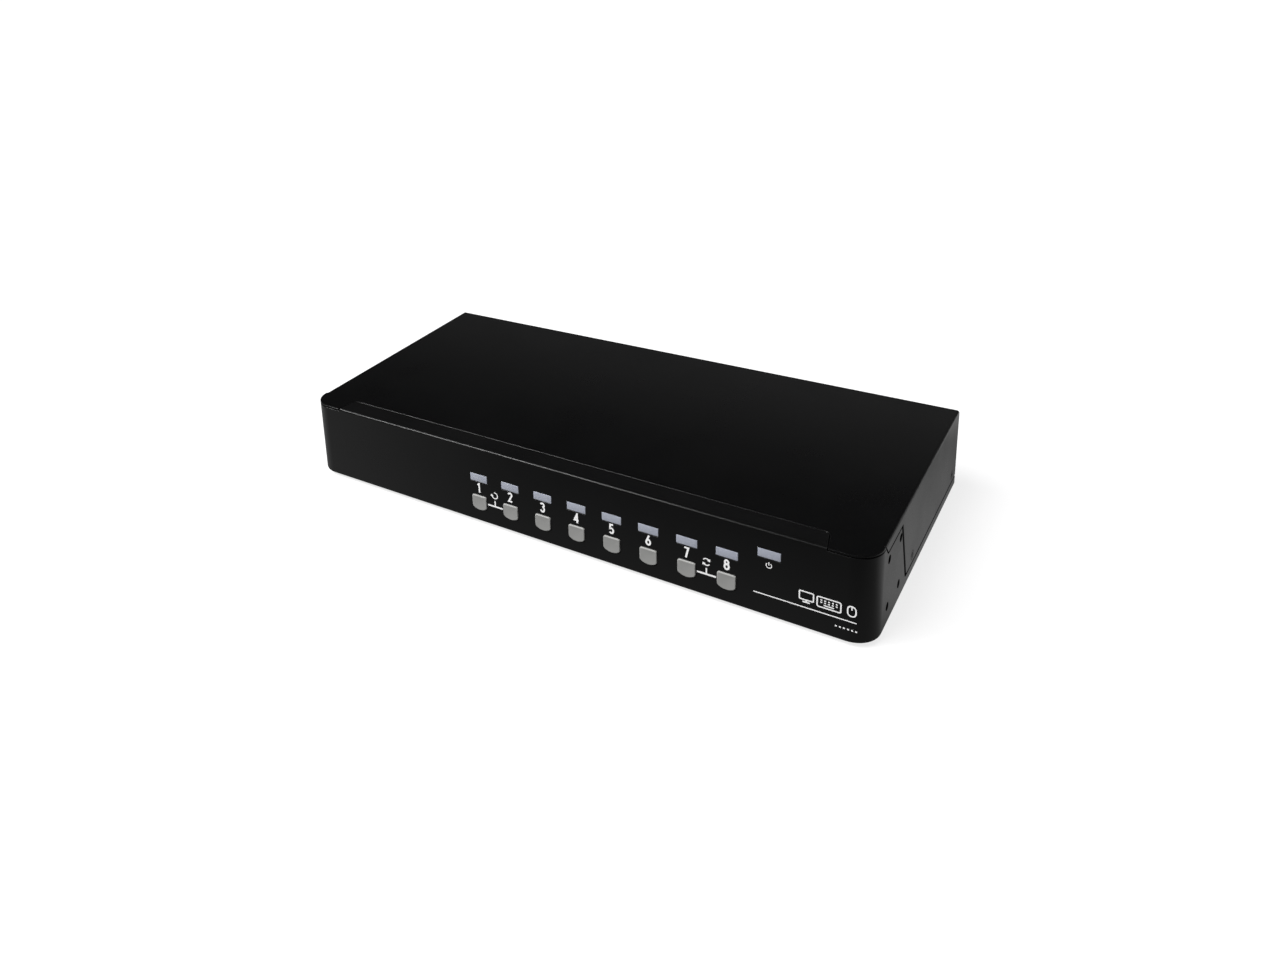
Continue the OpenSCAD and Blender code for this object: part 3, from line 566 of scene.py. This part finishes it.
finishes = {
    # case_paint and cover_paint are copies of one black coat. The cover's is darker, a painted shade for
    # its top.
    "case_paint": powder_coat("case_paint", (0.0022, 0.0022, 0.0023), (0.0034, 0.0034, 0.0035)),
    "cover_paint": powder_coat("cover_paint", (0.0012, 0.0012, 0.0013), (0.002, 0.002, 0.0021)),
    "black_screw": black_screw(),
    "foot_rubber": rubber(),
    "button_plastic": button_plastic(),
    "stem_plastic": moulded_plastic("stem_plastic", (0.72, 0.7, 0.64)),
    "black_plastic": moulded_plastic("black_plastic", (0.02, 0.02, 0.021)),
    "window_plastic": window_plastic(),
    "led_resin": led_resin(),
    "board_laminate": board_laminate(),
    "zinc_steel": metal("zinc_steel", (0.42, 0.41, 0.38), (0.6, 0.59, 0.56), 0.32),
    "connector_plate": metal("connector_plate", (0.52, 0.51, 0.49), (0.68, 0.67, 0.65), 0.24),
    "ribbon_grey": ribbon_grey(),
    "blue_plastic": moulded_plastic("blue_plastic", (0.012, 0.055, 0.36), 0.38),
    "purple_plastic": moulded_plastic("purple_plastic", (0.14, 0.06, 0.3), 0.4),
    "green_plastic": moulded_plastic("green_plastic", (0.03, 0.3, 0.1), 0.4),
    "chip_epoxy": chip_epoxy(),
    "capacitor_sleeve": capacitor_sleeve(),
    "heatsink_aluminium": metal("heatsink_aluminium", (0.3, 0.3, 0.31), (0.45, 0.45, 0.46), 0.4,
                                brushed=(1, 1, 8)),
    "inductor_ferrite": moulded_plastic("inductor_ferrite", (0.05, 0.05, 0.052), 0.7, depth=0.02 * MM),
}
ink = marking_ink()
gold = metal("contact_gold", (0.75, 0.5, 0.16), (0.95, 0.68, 0.26), 0.22)

for name, node in frame["nodes"].items():
    node.data.materials.clear()
    node.data.materials.append(finishes[slot_of[name]])


# ---------------------------------------------------------------------------
# Case, cover, screws and feet
# ---------------------------------------------------------------------------

def make_case():
    soften("base_chassis", "case_base", 0.18 * MM)
    notches = [Vector((side, cover_lo.y + RELIEF_Y, cover_hi.z)) for side in (cover_lo.x, cover_hi.x)]
    soften("top_cover", "case_cover", 0.24 * MM, sharp_near=notches, reach=1.9 * MM)
    soften("cover_screws", "case_screws", 0.07 * MM)


# In millimetres. A node that isn't named here gets OTHER_ROUNDING.
OTHER_ROUNDING = 0.12
EDGE_ROUNDING = {
    "switch_domes": 0.02, "front_board": 0.08, "main_board": 0.08, "ribbon_cable": 0.1,
    "pc_port_inserts": 0.08, "console_port_insert": 0.08,
    "pc_port_shells": 0.1, "console_port_shell": 0.1, "usb_shell": 0.1,
    "power_jack": 0.05, "keyboard_socket": 0.1, "mouse_socket": 0.1, "power_jack_pin": 0.3,
    "heatsink": 0.15, "capacitors": 0.4, "crystals": 0.7, "buzzer": 0.5, "power_inductor": 0.8,
}


def make_plain_parts():
    """Every node without a piece of its own keeps its CAD shape, with its edges rounded."""
    taken = {n for piece in bpy.context.scene.objects for n in piece.get("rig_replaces", [])}
    for node in frame["nodes"]:
        if node not in taken:
            soften(node, node + "_soft", EDGE_ROUNDING.get(node, OTHER_ROUNDING) * MM)


def make_foot(node):
    """A turned rubber foot with round edges and a shallow cup underneath."""
    lo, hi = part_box(node)
    radius = (hi.x - lo.x) / 2
    height = hi.z - lo.z
    edge = 0.5 * MM
    cup = 0.3 * MM
    tread = radius - 0.3 * MM
    profile = [(0.0, cup), (0.35 * radius, cup), (0.6 * radius, 0.4 * cup), (0.75 * radius, 0.0)]
    profile += arc((tread - edge, edge), edge, -90, 0, 6)
    profile += [(radius, height - 0.2 * MM), (radius - 0.1 * MM, height), (0.0, height)]
    sides = 64
    bm = bmesh.new()
    rings = []
    for r, z in profile:
        if r == 0:
            rings.append([bm.verts.new((0, 0, z))])
        else:
            rings.append([bm.verts.new((x, y, z)) for x, y in circle(r, sides)])
    for low, high in zip(rings, rings[1:]):
        for i in range(sides):
            corners = [low[i % len(low)], low[(i + 1) % len(low)],
                       high[(i + 1) % len(high)], high[i % len(high)]]
            bm.faces.new(list(dict.fromkeys(corners)))
    bmesh.ops.translate(bm, verts=bm.verts, vec=((lo.x + hi.x) / 2, (lo.y + hi.y) / 2, lo.z))
    piece = finish_mesh("rubber_" + node, bm)
    dress(piece, body_of(node), "foot_rubber")
    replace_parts(piece, node)


# ---------------------------------------------------------------------------
# Buttons and windows
# ---------------------------------------------------------------------------

def button_outline(inset=0.0):
    """The face of a button: small shoulders above, wide jaws and a bowed chin below."""
    shoulder_x = BUTTON_W / 2 - SHOULDER_R
    shoulder_z = BUTTON_H / 2 - SHOULDER_R
    chin_z = CHIN_R - BUTTON_H / 2
    jaw_x = BUTTON_W / 2 - JAW_R
    turn = math.degrees(math.asin(jaw_x / (CHIN_R - JAW_R)))
    jaw_z = chin_z - (CHIN_R - JAW_R) * math.cos(math.radians(turn))
    return (
        arc((shoulder_x, shoulder_z), SHOULDER_R - inset, 0, 90)
        + arc((-shoulder_x, shoulder_z), SHOULDER_R - inset, 90, 180)
        + arc((-jaw_x, jaw_z), JAW_R - inset, 180, 270 - turn)
        + arc((0, chin_z), CHIN_R - inset, 270 - turn, 270 + turn, 16)
        + arc((jaw_x, jaw_z), JAW_R - inset, 270 + turn, 360)
    )


def rounded_rect(width, height, radius):
    """The outline of a rectangle round the origin, with its corners rounded."""
    x = width / 2 - radius
    z = height / 2 - radius
    return (arc((x, z), radius, 0, 90, 5) + arc((-x, z), radius, 90, 180, 5)
            + arc((-x, -z), radius, 180, 270, 5) + arc((x, -z), radius, 270, 360, 5))


def make_button(i):
    """One cap as a single closed skin: dished face, round edge, flange and bored boss."""
    count = 144
    lo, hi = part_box(f"button_{i}")
    stem_lo, stem_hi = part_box(f"switch_stem_{i}")
    at = ((stem_lo.x + stem_hi.x) / 2, FRONT_Y, (stem_lo.z + stem_hi.z) / 2)
    face_y = lo.y - FRONT_Y
    boss_y = hi.y - FRONT_Y
    inner = polar(button_outline(CAP_EDGE_R), count)
    rings = []
    for share in (0.04, 0.2, 0.4, 0.6, 0.75, 0.88, 0.96):
        dished = [(x * share, z * share) for x, z in inner]
        rings.append((dished, face_y + CAP_DISH * (1 - share ** 2)))
    for step in range(7):
        turn = math.radians(90 * step / 6)
        inset = CAP_EDGE_R * (1 - math.sin(turn))
        rings.append((polar(button_outline(inset), count), face_y + CAP_EDGE_R * (1 - math.cos(turn))))
    flange = polar(rounded_rect(CAP_FLANGE_W, CAP_FLANGE_W, 1.0 * MM), count)
    outer = polar(button_outline(), count)
    rings += [
        (outer, CAP_FLANGE_Y),
        (flange, CAP_FLANGE_Y),
        (flange, CAP_FLANGE_Y + CAP_FLANGE_T),
        (circle(CAP_BOSS_R, count), CAP_FLANGE_Y + CAP_FLANGE_T),
        (circle(CAP_BOSS_R, count), boss_y - 0.2 * MM),
        (circle(CAP_BOSS_R - 0.2 * MM, count), boss_y),
        (circle(STEM_POCKET_R, count), boss_y),
        (circle(STEM_POCKET_R, count), STEM_POCKET_Y),
    ]
    bm = bmesh.new()
    loft(bm, rings, at)
    piece = finish_mesh(f"button_cap_{i}", bm, 40)
    dress(piece, body_of(f"button_{i}"), "button_plastic")
    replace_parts(piece, f"button_{i}")


def make_windows(node, name, count):
    """Indicator windows: a face with round edges, the flange behind the wall and the foot."""
    lo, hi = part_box(node)
    width = LENS_W + 2 * LENS_FLANGE
    pitch = (hi.x - lo.x - width) / max(1, count - 1)
    rings = []
    for step in range(5):
        turn = math.radians(90 * step / 4)
        inset = LENS_EDGE_R * (1 - math.sin(turn))
        face = rounded_rect(LENS_W - 2 * inset, LENS_H - 2 * inset, LENS_CORNER_R)
        rings.append((face, LENS_EDGE_R * (1 - math.cos(turn))))
    body = rounded_rect(LENS_W, LENS_H, LENS_CORNER_R)
    rim = rounded_rect(width, LENS_H + 2 * LENS_FLANGE, LENS_CORNER_R)
    foot = rounded_rect(LENS_W - 3.0 * MM, LENS_H - 1.0 * MM, LENS_CORNER_R)
    rim_back = LENS_FLANGE_Y + LENS_FLANGE_T
    rings += [
        (body, LENS_FLANGE_Y),
        (rim, LENS_FLANGE_Y),
        (rim, rim_back),
        (foot, rim_back),
        (foot, hi.y - lo.y),
    ]
    bm = bmesh.new()
    for i in range(count):
        loft(bm, rings, (lo.x + width / 2 + i * pitch, lo.y, (lo.z + hi.z) / 2))
    piece = finish_mesh(name, bm, 40)
    dress(piece, body_of(node), "window_plastic")
    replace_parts(piece, node)


# ---------------------------------------------------------------------------
# Printed markings: thin solid strokes of ink on the front wall
# ---------------------------------------------------------------------------

def ink_layer(level):
    """The thickness of a stroke. One that crosses another is a level up, so no two faces meet."""
    return INK_T * 1.1 ** level


def oval(centre, rx, rz, start, end, steps=20):
    """Points along an oval in the X and Z plane, with angles in degrees."""
    points = []
    for i in range(steps + 1):
        turn = math.radians(start + (end - start) * i / steps)
        points.append((centre[0] + rx * math.cos(turn), centre[1] + rz * math.sin(turn)))
    return points


def stroke(bm, path, width, at=(0, 0), level=0, closed=False):
    """Lays a flat band of ink on the front wall along a path in X and Z, with mitred corners."""
    count = len(path)
    left, right = [], []
    for i, (x, z) in enumerate(path):
        before = path[i - 1] if (closed or i > 0) else None
        after = path[(i + 1) % count] if (closed or i < count - 1) else None
        directions = []
        if before is not None:
            directions.append(Vector((x - before[0], z - before[1])).normalized())
        if after is not None:
            directions.append(Vector((after[0] - x, after[1] - z)).normalized())
        normals = [Vector((-d.y, d.x)) for d in directions]
        middle = sum(normals, Vector((0, 0))).normalized()
        reach = width / 2 / max(0.35, middle.dot(normals[0]))
        left.append((x + middle.x * reach, z + middle.y * reach))
        right.append((x - middle.x * reach, z - middle.y * reach))
    levels = []
    for y in (0.0, -ink_layer(level)):
        levels.append([
            [bm.verts.new((at[0] + x, FRONT_Y + y, at[1] + z)) for x, z in side]
            for side in (left, right)
        ])
    (low_l, low_r), (high_l, high_r) = levels
    spans = range(count if closed else count - 1)
    for i in spans:
        j = (i + 1) % count
        bm.faces.new((high_l[i], high_l[j], high_r[j], high_r[i]))
        bm.faces.new((low_l[i], low_r[i], low_r[j], low_l[j]))
        bm.faces.new((low_l[i], low_l[j], high_l[j], high_l[i]))
        bm.faces.new((low_r[i], high_r[i], high_r[j], low_r[j]))
    if not closed:
        for i in (0, count - 1):
            bm.faces.new((low_l[i], high_l[i], high_r[i], low_r[i]))


def digit_strokes(number):
    """Centre lines of a bold narrow digit whose foot is at the origin."""
    s = DIGIT_STROKE
    w = (DIGIT_W - s) / 2
    h = DIGIT_H - s
    low = s / 2
    top = low + h
    bowl = h * 0.29
    small = h * 0.235
    if number == 1:
        return [
            [(0.15 * w, 0), (0.15 * w, DIGIT_H)],
            [(-0.75 * w, top - 0.95 * w), (0.1 * w, top + 0.05 * w)],
        ]
    if number == 2:
        return [oval((0, top - w), w, w, 165, -38) + [(-0.95 * w, low), (1.1 * w, low)]]
    if number == 3:
        return [
            oval((-0.1 * w, top - small), 0.95 * w, small, 160, -90),
            oval((-0.1 * w, low + bowl), w, bowl, 90, -160),
        ]
    if number == 4:
        return [
            [(0.45 * w, 0), (0.45 * w, DIGIT_H)],
            [(0.45 * w, top), (-1.05 * w, low + 0.26 * h), (1.2 * w, low + 0.26 * h)],
        ]
    if number == 5:
        return [
            [(0.9 * w, top), (-0.6 * w, top), (-0.8 * w, low + 0.53 * h)]
            + oval((-0.05 * w, low + bowl), 0.95 * w, bowl, 118, -150),
        ]
    if number == 6:
        return [
            oval((0, low + bowl), w, bowl, 0, 360)[:-1],
            [(-0.88 * w, low + 1.45 * bowl), (0.45 * w, DIGIT_H - 0.1 * s)],
        ]
    if number == 7:
        return [[(-1.1 * w, top), (0.85 * w, top), (-0.35 * w, 0)]]
    return [
        oval((0, top - small), 0.82 * w, small, 0, 360)[:-1],
        oval((0, low + bowl), w, bowl, 0, 360)[:-1],
    ]


def is_loop(path):
    """Whether a path comes back to its start, as the bowls of 6 and 8 do."""
    return len(path) > 12 and math.dist(path[0], path[-1]) < 0.6 * MM


def port_at(i):
    """The middle of a port's button, in X and Z."""
    lo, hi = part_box(f"switch_stem_{i}")
    return (lo.x + hi.x) / 2, (lo.z + hi.z) / 2


def make_digits():
    bm = bmesh.new()
    for i in PORTS:
        foot = (port_at(i)[0], base_lo.z + DIGIT_FOOT_Z)
        for level, path in enumerate(digit_strokes(i)):
            stroke(bm, path, DIGIT_STROKE, foot, level, is_loop(path))
    dress_extra(finish_mesh("port_digits", bm), ink)


def make_link_lines():
    """A rule between the two buttons of each pair, with a tick up to its pictogram."""
    bm = bmesh.new()
    gap = BUTTON_W / 2 + 0.5 * MM
    for left in (1, 7):
        x0, z0 = port_at(left)
        x1 = port_at(left + 1)[0]
        z = z0 + 0.45 * MM
        middle = (x0 + x1) / 2
        stroke(bm, [(x0 + gap, z), (x1 - gap, z)], 0.9 * MM)
        stroke(bm, [(middle, z + 0.5 * MM), (middle, z + 3.3 * MM)], 0.7 * MM, level=1)
    dress_extra(finish_mesh("link_lines", bm), ink)


def curved_arrow(bm, at, start, sweep):
    """An arrow along part of a circle round at, with angles in degrees."""
    radius = 1.75 * MM
    width = 0.55 * MM
    barb = 1.1 * MM
    end = start + sweep
    stroke(bm, oval((0, 0), radius, radius, start, end, 24), width, at)
    tip = (radius * math.cos(math.radians(end)), radius * math.sin(math.radians(end)))
    wings = []
    for side in (-1, 1):
        back = math.radians(end + 100 + side * 42)
        wings.append((tip[0] + barb * math.cos(back), tip[1] + barb * math.sin(back)))
    stroke(bm, [wings[0], tip, wings[1]], width, at, 1)


def make_pair_pictograms():
    """Over the first pair of buttons a restart arrow, over the last pair two arrows in a ring."""
    bm = bmesh.new()
    for left, starts, sweep in ((1, (100,), -290), (7, (150, -30), -125)):
        x0, z0 = port_at(left)
        middle = (x0 + port_at(left + 1)[0]) / 2
        for start in starts:
            curved_arrow(bm, (middle, z0 + 7.0 * MM), start, sweep)
    dress_extra(finish_mesh("pair_pictograms", bm), ink)


def make_power_symbol():
    """A ring that is open at the top, and a bar in the opening."""
    bm = bmesh.new()
    lo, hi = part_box("power_window")
    at = ((lo.x + hi.x) / 2, (lo.z + hi.z) / 2 - LENS_H / 2 - 3.3 * MM)
    ring = 1.25 * MM
    line = 0.42 * MM
    stroke(bm, oval((0, 0), ring, ring, 130, 410, 24), line, at)
    stroke(bm, [(0, 0.1 * MM), (0, 1.75 * MM)], line, at, 1)
    dress_extra(finish_mesh("power_symbol", bm), ink)


def draw_monitor(bm, at):
    foot_z = -3.2 * MM
    foot_half = 1.6 * MM
    stroke(bm, rounded_rect(6.2 * MM, 4.1 * MM, 0.5 * MM), PICTOGRAM_LINE, at, closed=True)
    stroke(bm, [(0, -2.0 * MM), (0, foot_z)], PICTOGRAM_LINE, at, 1)
    stroke(bm, [(-foot_half, foot_z), (foot_half, foot_z)], PICTOGRAM_LINE, at, 2)


def draw_keyboard(bm, at):
    key_pitch = 1.65 * MM
    key_half = 0.4 * MM
    bar_z = -1.3 * MM
    bar_half = 2.2 * MM
    stroke(bm, rounded_rect(10.2 * MM, 5.0 * MM, 0.7 * MM), PICTOGRAM_LINE, at, closed=True)
    for row_z in (1.05 * MM, -0.1 * MM):
        for column in range(-2, 3):
            key = (at[0] + column * key_pitch, at[1] + row_z)
            stroke(bm, [(-key_half, 0), (key_half, 0)], 0.6 * MM, key)
    stroke(bm, [(-bar_half, bar_z), (bar_half, bar_z)], 0.55 * MM, at)


def draw_mouse(bm, at):
    stroke(bm, rounded_rect(3.5 * MM, 5.0 * MM, 1.7 * MM), PICTOGRAM_LINE, at, closed=True)
    stroke(bm, [(0, 2.3 * MM), (0, 0.6 * MM)], 0.5 * MM, at, 1)


def draw_rules(bm, rule_z):
    """A long rule, and six short dashes below its right end."""
    dash_pitch = 1.72 * MM
    dash_l = 0.8 * MM
    dash_z = rule_z - 4.2 * MM
    stroke(bm, [(RULE_LEFT, rule_z), (RULE_RIGHT, rule_z)], 0.5 * MM)
    for i in range(6):
        x = RULE_RIGHT - 9.0 * MM + i * dash_pitch
        stroke(bm, [(x, dash_z), (x + dash_l, dash_z)], 0.7 * MM)


def make_console_pictograms():
    """Outlines of a monitor, a keyboard and a mouse, with plain rules below them."""
    bm = bmesh.new()
    button_z = port_at(1)[1]
    row_z = button_z + 4.85 * MM
    draw_monitor(bm, (MONITOR_X, row_z + 0.65 * MM))
    draw_keyboard(bm, (KEYBOARD_X, row_z))
    draw_mouse(bm, (MOUSE_X, row_z))
    draw_rules(bm, button_z - 0.45 * MM)
    dress_extra(finish_mesh("console_pictograms", bm), ink)


def video_ports():
    """The middle of each computer's video port in X and Z, in the order of their numbers."""
    lo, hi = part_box("pc_port_inserts")
    stacks = len(PORTS) // 2
    pitch = (hi.x - lo.x - VIDEO_W) / (stacks - 1)
    low_z = (lo.z + hi.z - VIDEO_RISE) / 2
    return [
        (lo.x + VIDEO_W / 2 + stack * pitch, low_z + rise)
        for stack in range(stacks)
        for rise in (0, VIDEO_RISE)
    ]


def make_rear_digits():
    """The number of each computer's port, small, beside its socket on the rear wall."""
    bm = bmesh.new()
    small = REAR_DIGIT_SCALE
    for i, (x, z) in zip(PORTS, video_ports()):
        foot = (x - REAR_DIGIT_ASIDE, z + REAR_DIGIT_LIFT - DIGIT_H * small / 2)
        for level, path in enumerate(digit_strokes(i)):
            from_behind = [(-px * small, pz * small) for px, pz in path]
            stroke(bm, from_behind, DIGIT_STROKE * small, foot, level, is_loop(path))
    for vert in bm.verts:
        vert.co.y = REAR_Y + (FRONT_Y - vert.co.y)
    dress_extra(finish_mesh("rear_port_digits", bm), ink)


# ---------------------------------------------------------------------------
# Contacts inside the connectors
# ---------------------------------------------------------------------------

def turned(bm, profile, at, sides=16):
    """Turns a closed profile of (radius, Y) round an axis along Y."""
    rings = []
    for radius, y in profile:
        rings.append([bm.verts.new((at[0] + x, at[1] + y, at[2] + z)) for x, z in circle(radius, sides)])
    for low, high in zip(rings, rings[1:] + rings[:1]):
        for i in range(sides):
            j = (i + 1) % sides
            bm.faces.new((low[i], low[j], high[j], high[i]))


def make_video_contacts(name, insert, places):
    """Fifteen gold sleeves with a flared lip, just inside the holes of each video port."""
    bm = bmesh.new()
    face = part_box(insert)[1].y - 0.35 * MM
    sleeve = [
        (CONTACT_R, 0),
        (CONTACT_LIP_R, 0.06 * MM),
        (CONTACT_BORE_R, 0),
        (CONTACT_BORE_R, -CONTACT_L),
        (CONTACT_R, -CONTACT_L),
    ]
    for x, z in places:
        for row in (-1, 0, 1):
            shift = 0.25 if row == 0 else -0.25
            for i in range(-2, 3):
                turned(bm, sleeve, (x + (i + shift) * CONTACT_PITCH, face, z + row * CONTACT_ROWS))
    dress_extra(finish_mesh(name, bm), gold)


def contact_strip(bm, x, front_y, z, length):
    """A gold strip under a tongue, thinner and narrower where it starts."""
    full_t = 0.18 * MM
    steps = 6
    sections = []
    for step in range(steps + 1):
        y = front_y - length * step / steps
        drop = full_t if step else 0.3 * full_t
        half = (0.5 if step else 0.35) * MM
        corners = ((-half, 0.05 * MM), (half, 0.05 * MM), (half, -drop), (-half, -drop))
        sections.append([bm.verts.new((x + cx, y, z + cz)) for cx, cz in corners])
    for near, far in zip(sections, sections[1:]):
        for i in range(4):
            j = (i + 1) % 4
            bm.faces.new((near[i], near[j], far[j], far[i]))
    bm.faces.new(sections[0])
    bm.faces.new(sections[-1])


def make_usb_contacts():
    """Four strips under each tongue: the outer two are longer and wider apart."""
    bm = bmesh.new()
    lo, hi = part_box("usb_tongues")
    middle = (lo.x + hi.x) / 2
    for under in (lo.z, hi.z - USB_TONGUE_T):
        for aside, length in ((-3.5, 7.4), (-1.0, 6.4), (1.0, 6.4), (3.5, 7.4)):
            contact_strip(bm, middle + aside * MM, hi.y - 0.4 * MM, under, length * MM)
    dress_extra(finish_mesh("usb_contacts", bm), gold)


def make_contacts():
    make_video_contacts("pc_port_contacts", "pc_port_inserts", video_ports())
    lo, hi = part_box("console_port_insert")
    console = ((lo.x + hi.x) / 2, (lo.z + hi.z) / 2)
    make_video_contacts("console_port_contacts", "console_port_insert", [console])
    make_usb_contacts()


# ---------------------------------------------------------------------------
# Studio: floor, world, lights and camera
# ---------------------------------------------------------------------------

def stage_card(name, corners, material):
    """A flat four-cornered card of the studio, which isn't part of the object."""
    bm = bmesh.new()
    bm.faces.new([bm.verts.new(corner) for corner in corners])
    card = finish_mesh(name, bm)
    card.data.materials.append(material)


def floor_material():
    """Pale to the camera. What the paint reflects is dim in front and bright beside the right wall."""
    s = Shader("floor", (0.22, 0.22, 0.222), 0.9, specular=0.0)
    s.bsdf.inputs["Emission Color"].default_value = (1.0, 1.0, 1.0, 1)
    s.bsdf.inputs["Emission Strength"].default_value = 0.78
    place = s.axes(s.place)
    x = place["X"]
    y = place["Y"]
    near = s.spread(y, 0.055, 0.165, FRONT_Y - 90 * MM, FRONT_Y - 10 * MM)
    left = s.spread(x, 0.0, 0.2, -0.02, -0.26, ease=True)
    fading_back = s.spread(y, 1.0, 0.15, 0.0, 0.12)
    ahead = s.math("MULTIPLY", s.math("ADD", left, near), fading_back)
    far = s.spread(y, 0.0, 0.6, 0.13, 0.22)
    right_side = s.math("GREATER_THAN", x, 0.15)
    right = s.math("MULTIPLY", s.spread(y, 0.0, 0.215, -0.072, -0.030, ease=True), right_side)
    rising_back = s.spread(y, 0.95, 1.13, -0.05, 0.12)
    beside = s.math("MULTIPLY", right, rising_back)
    reflected = s.glow(s.math("ADD", s.math("ADD", ahead, far), beside))
    s.show_to("Is Camera Ray", s.bsdf.outputs["BSDF"], reflected)
    return s.material


def make_floor():
    half = 30.0
    stage_card("floor", [(-half, -half, 0), (half, -half, 0), (half, half, 0), (-half, half, 0)],
               floor_material())


def rear_card_material():
    """Seen only in reflections: brightest near the floor, and a little brighter to the right."""
    s = Shader("rear_card", (0, 0, 0), 1.0)
    place = s.axes(s.place)
    low = s.spread(place["Z"], 0.21, 0.0, 0.06, 0.235, ease=True)
    across = s.spread(place["X"], 0.85, 1.2, -0.35, 0.12)
    clear = s.node("ShaderNodeBsdfTransparent").outputs["BSDF"]
    s.show_to("Is Glossy Ray", s.glow(s.math("MULTIPLY", low, across)), clear)
    return s.material


def make_rear_card():
    """A glowing card behind the case, for its top to reflect."""
    left, right = -0.9, 0.7
    low, high = 0.1, 0.3
    behind = 0.25
    stage_card("rear_card", [(left, behind, low), (right, behind, low), (right, behind, high),
                             (left, behind, high)], rear_card_material())


def make_world():
    """Pale to the camera, and a dim studio to everything else."""
    world = bpy.data.worlds.new("studio")
    bpy.context.scene.world = world
    world.use_nodes = True
    tree = world.node_tree
    tree.nodes.clear()
    link = tree.links.new
    dim = tree.nodes.new("ShaderNodeBackground")
    dim.inputs["Strength"].default_value = 0.008
    pale = tree.nodes.new("ShaderNodeBackground")
    pale.inputs["Color"].default_value = (1.0, 1.0, 1.0, 1)
    mix = tree.nodes.new("ShaderNodeMixShader")
    rays = tree.nodes.new("ShaderNodeLightPath")
    link(rays.outputs["Is Camera Ray"], mix.inputs["Fac"])
    link(dim.outputs["Background"], mix.inputs[1])
    link(pale.outputs["Background"], mix.inputs[2])
    output = tree.nodes.new("ShaderNodeOutputWorld")
    link(mix.outputs["Shader"], output.inputs["Surface"])


def place_light(name, data, at, target, shines):
    """Adds a light at a place, facing a target. One that doesn't shine is left out of reflections."""
    holder = add_object(name, data)
    holder.location = at
    direction = Vector(target) - holder.location
    holder.rotation_euler = direction.to_track_quat("-Z", "Y").to_euler()
    holder.visible_glossy = shines


def softbox(name, at, target, size, power, shines=False):
    data = bpy.data.lights.new(name, "AREA")
    data.shape = "RECTANGLE"
    data.size, data.size_y = size
    data.energy = power
    place_light(name, data, at, target, shines)


def sun(name, comes_from, strength, angle):
    data = bpy.data.lights.new(name, "SUN")
    data.energy = strength
    data.angle = math.radians(angle)
    place_light(name, data, comes_from, (0, 0, 0), shines=False)


def make_lights():
    """Only the strip shows in the paint, as the pale line along the front fold."""
    sun("overhead", (-0.35, -0.45, 0.8), 3.8, 40)
    sun("rear_fill", (0.35, 0.8, 0.5), 1.6, 60)
    softbox("left_key", (-1.0, -0.35, 0.95), (-0.1, -0.05, 0.03), (0.8, 0.4), 10)
    softbox("fold_strip", (-0.80, -0.72, 1.02), (-0.80, -0.08, 0.045), (0.7, 0.2), 11, shines=True)


def make_camera():
    data = bpy.data.cameras.new("camera")
    data.sensor_width = 36
    data.lens = LENS
    data.clip_start = 0.01
    data.clip_end = 100
    camera = add_object("camera", data)
    camera.location = CAMERA_AT
    turn = (Matrix.Rotation(math.radians(CAMERA_PAN), 3, "Z")
            @ Matrix.Rotation(math.radians(90 + CAMERA_TILT), 3, "X")
            @ Matrix.Rotation(math.radians(CAMERA_ROLL), 3, "Z"))
    camera.rotation_euler = turn.to_euler()
    bpy.context.scene.camera = camera
    for socket, shift in (("shift_x", SHIFT_X), ("shift_y", SHIFT_Y)):
        off_centre_frame(camera, socket, shift)


def off_centre_frame(camera, socket, shift):
    """Shifts the picture's middle, but only while the camera stands at its own place."""
    driver = camera.data.driver_add(socket).driver
    driver.type = "SCRIPTED"
    place = driver.variables.new()
    place.name = "x"
    place.type = "TRANSFORMS"
    place.targets[0].id = camera
    place.targets[0].transform_type = "LOC_X"
    place.targets[0].transform_space = "WORLD_SPACE"
    driver.expression = f"{shift} if abs(x - {CAMERA_AT[0]}) < 0.0001 else 0.0"


# ---------------------------------------------------------------------------
# Build
# ---------------------------------------------------------------------------

make_case()
for end in ("front", "rear"):
    for side in ("left", "right"):
        make_foot(f"foot_{end}_{side}")
for i in PORTS:
    make_button(i)
make_windows("port_windows", "port_lenses", len(PORTS))
make_windows("power_window", "power_lens", 1)
make_plain_parts()
make_digits()
make_link_lines()
make_pair_pictograms()
make_power_symbol()
make_console_pictograms()
make_rear_digits()
make_contacts()
make_floor()
make_rear_card()
make_world()
make_lights()
make_camera()
bpy.context.scene.view_settings.view_transform = "Standard"
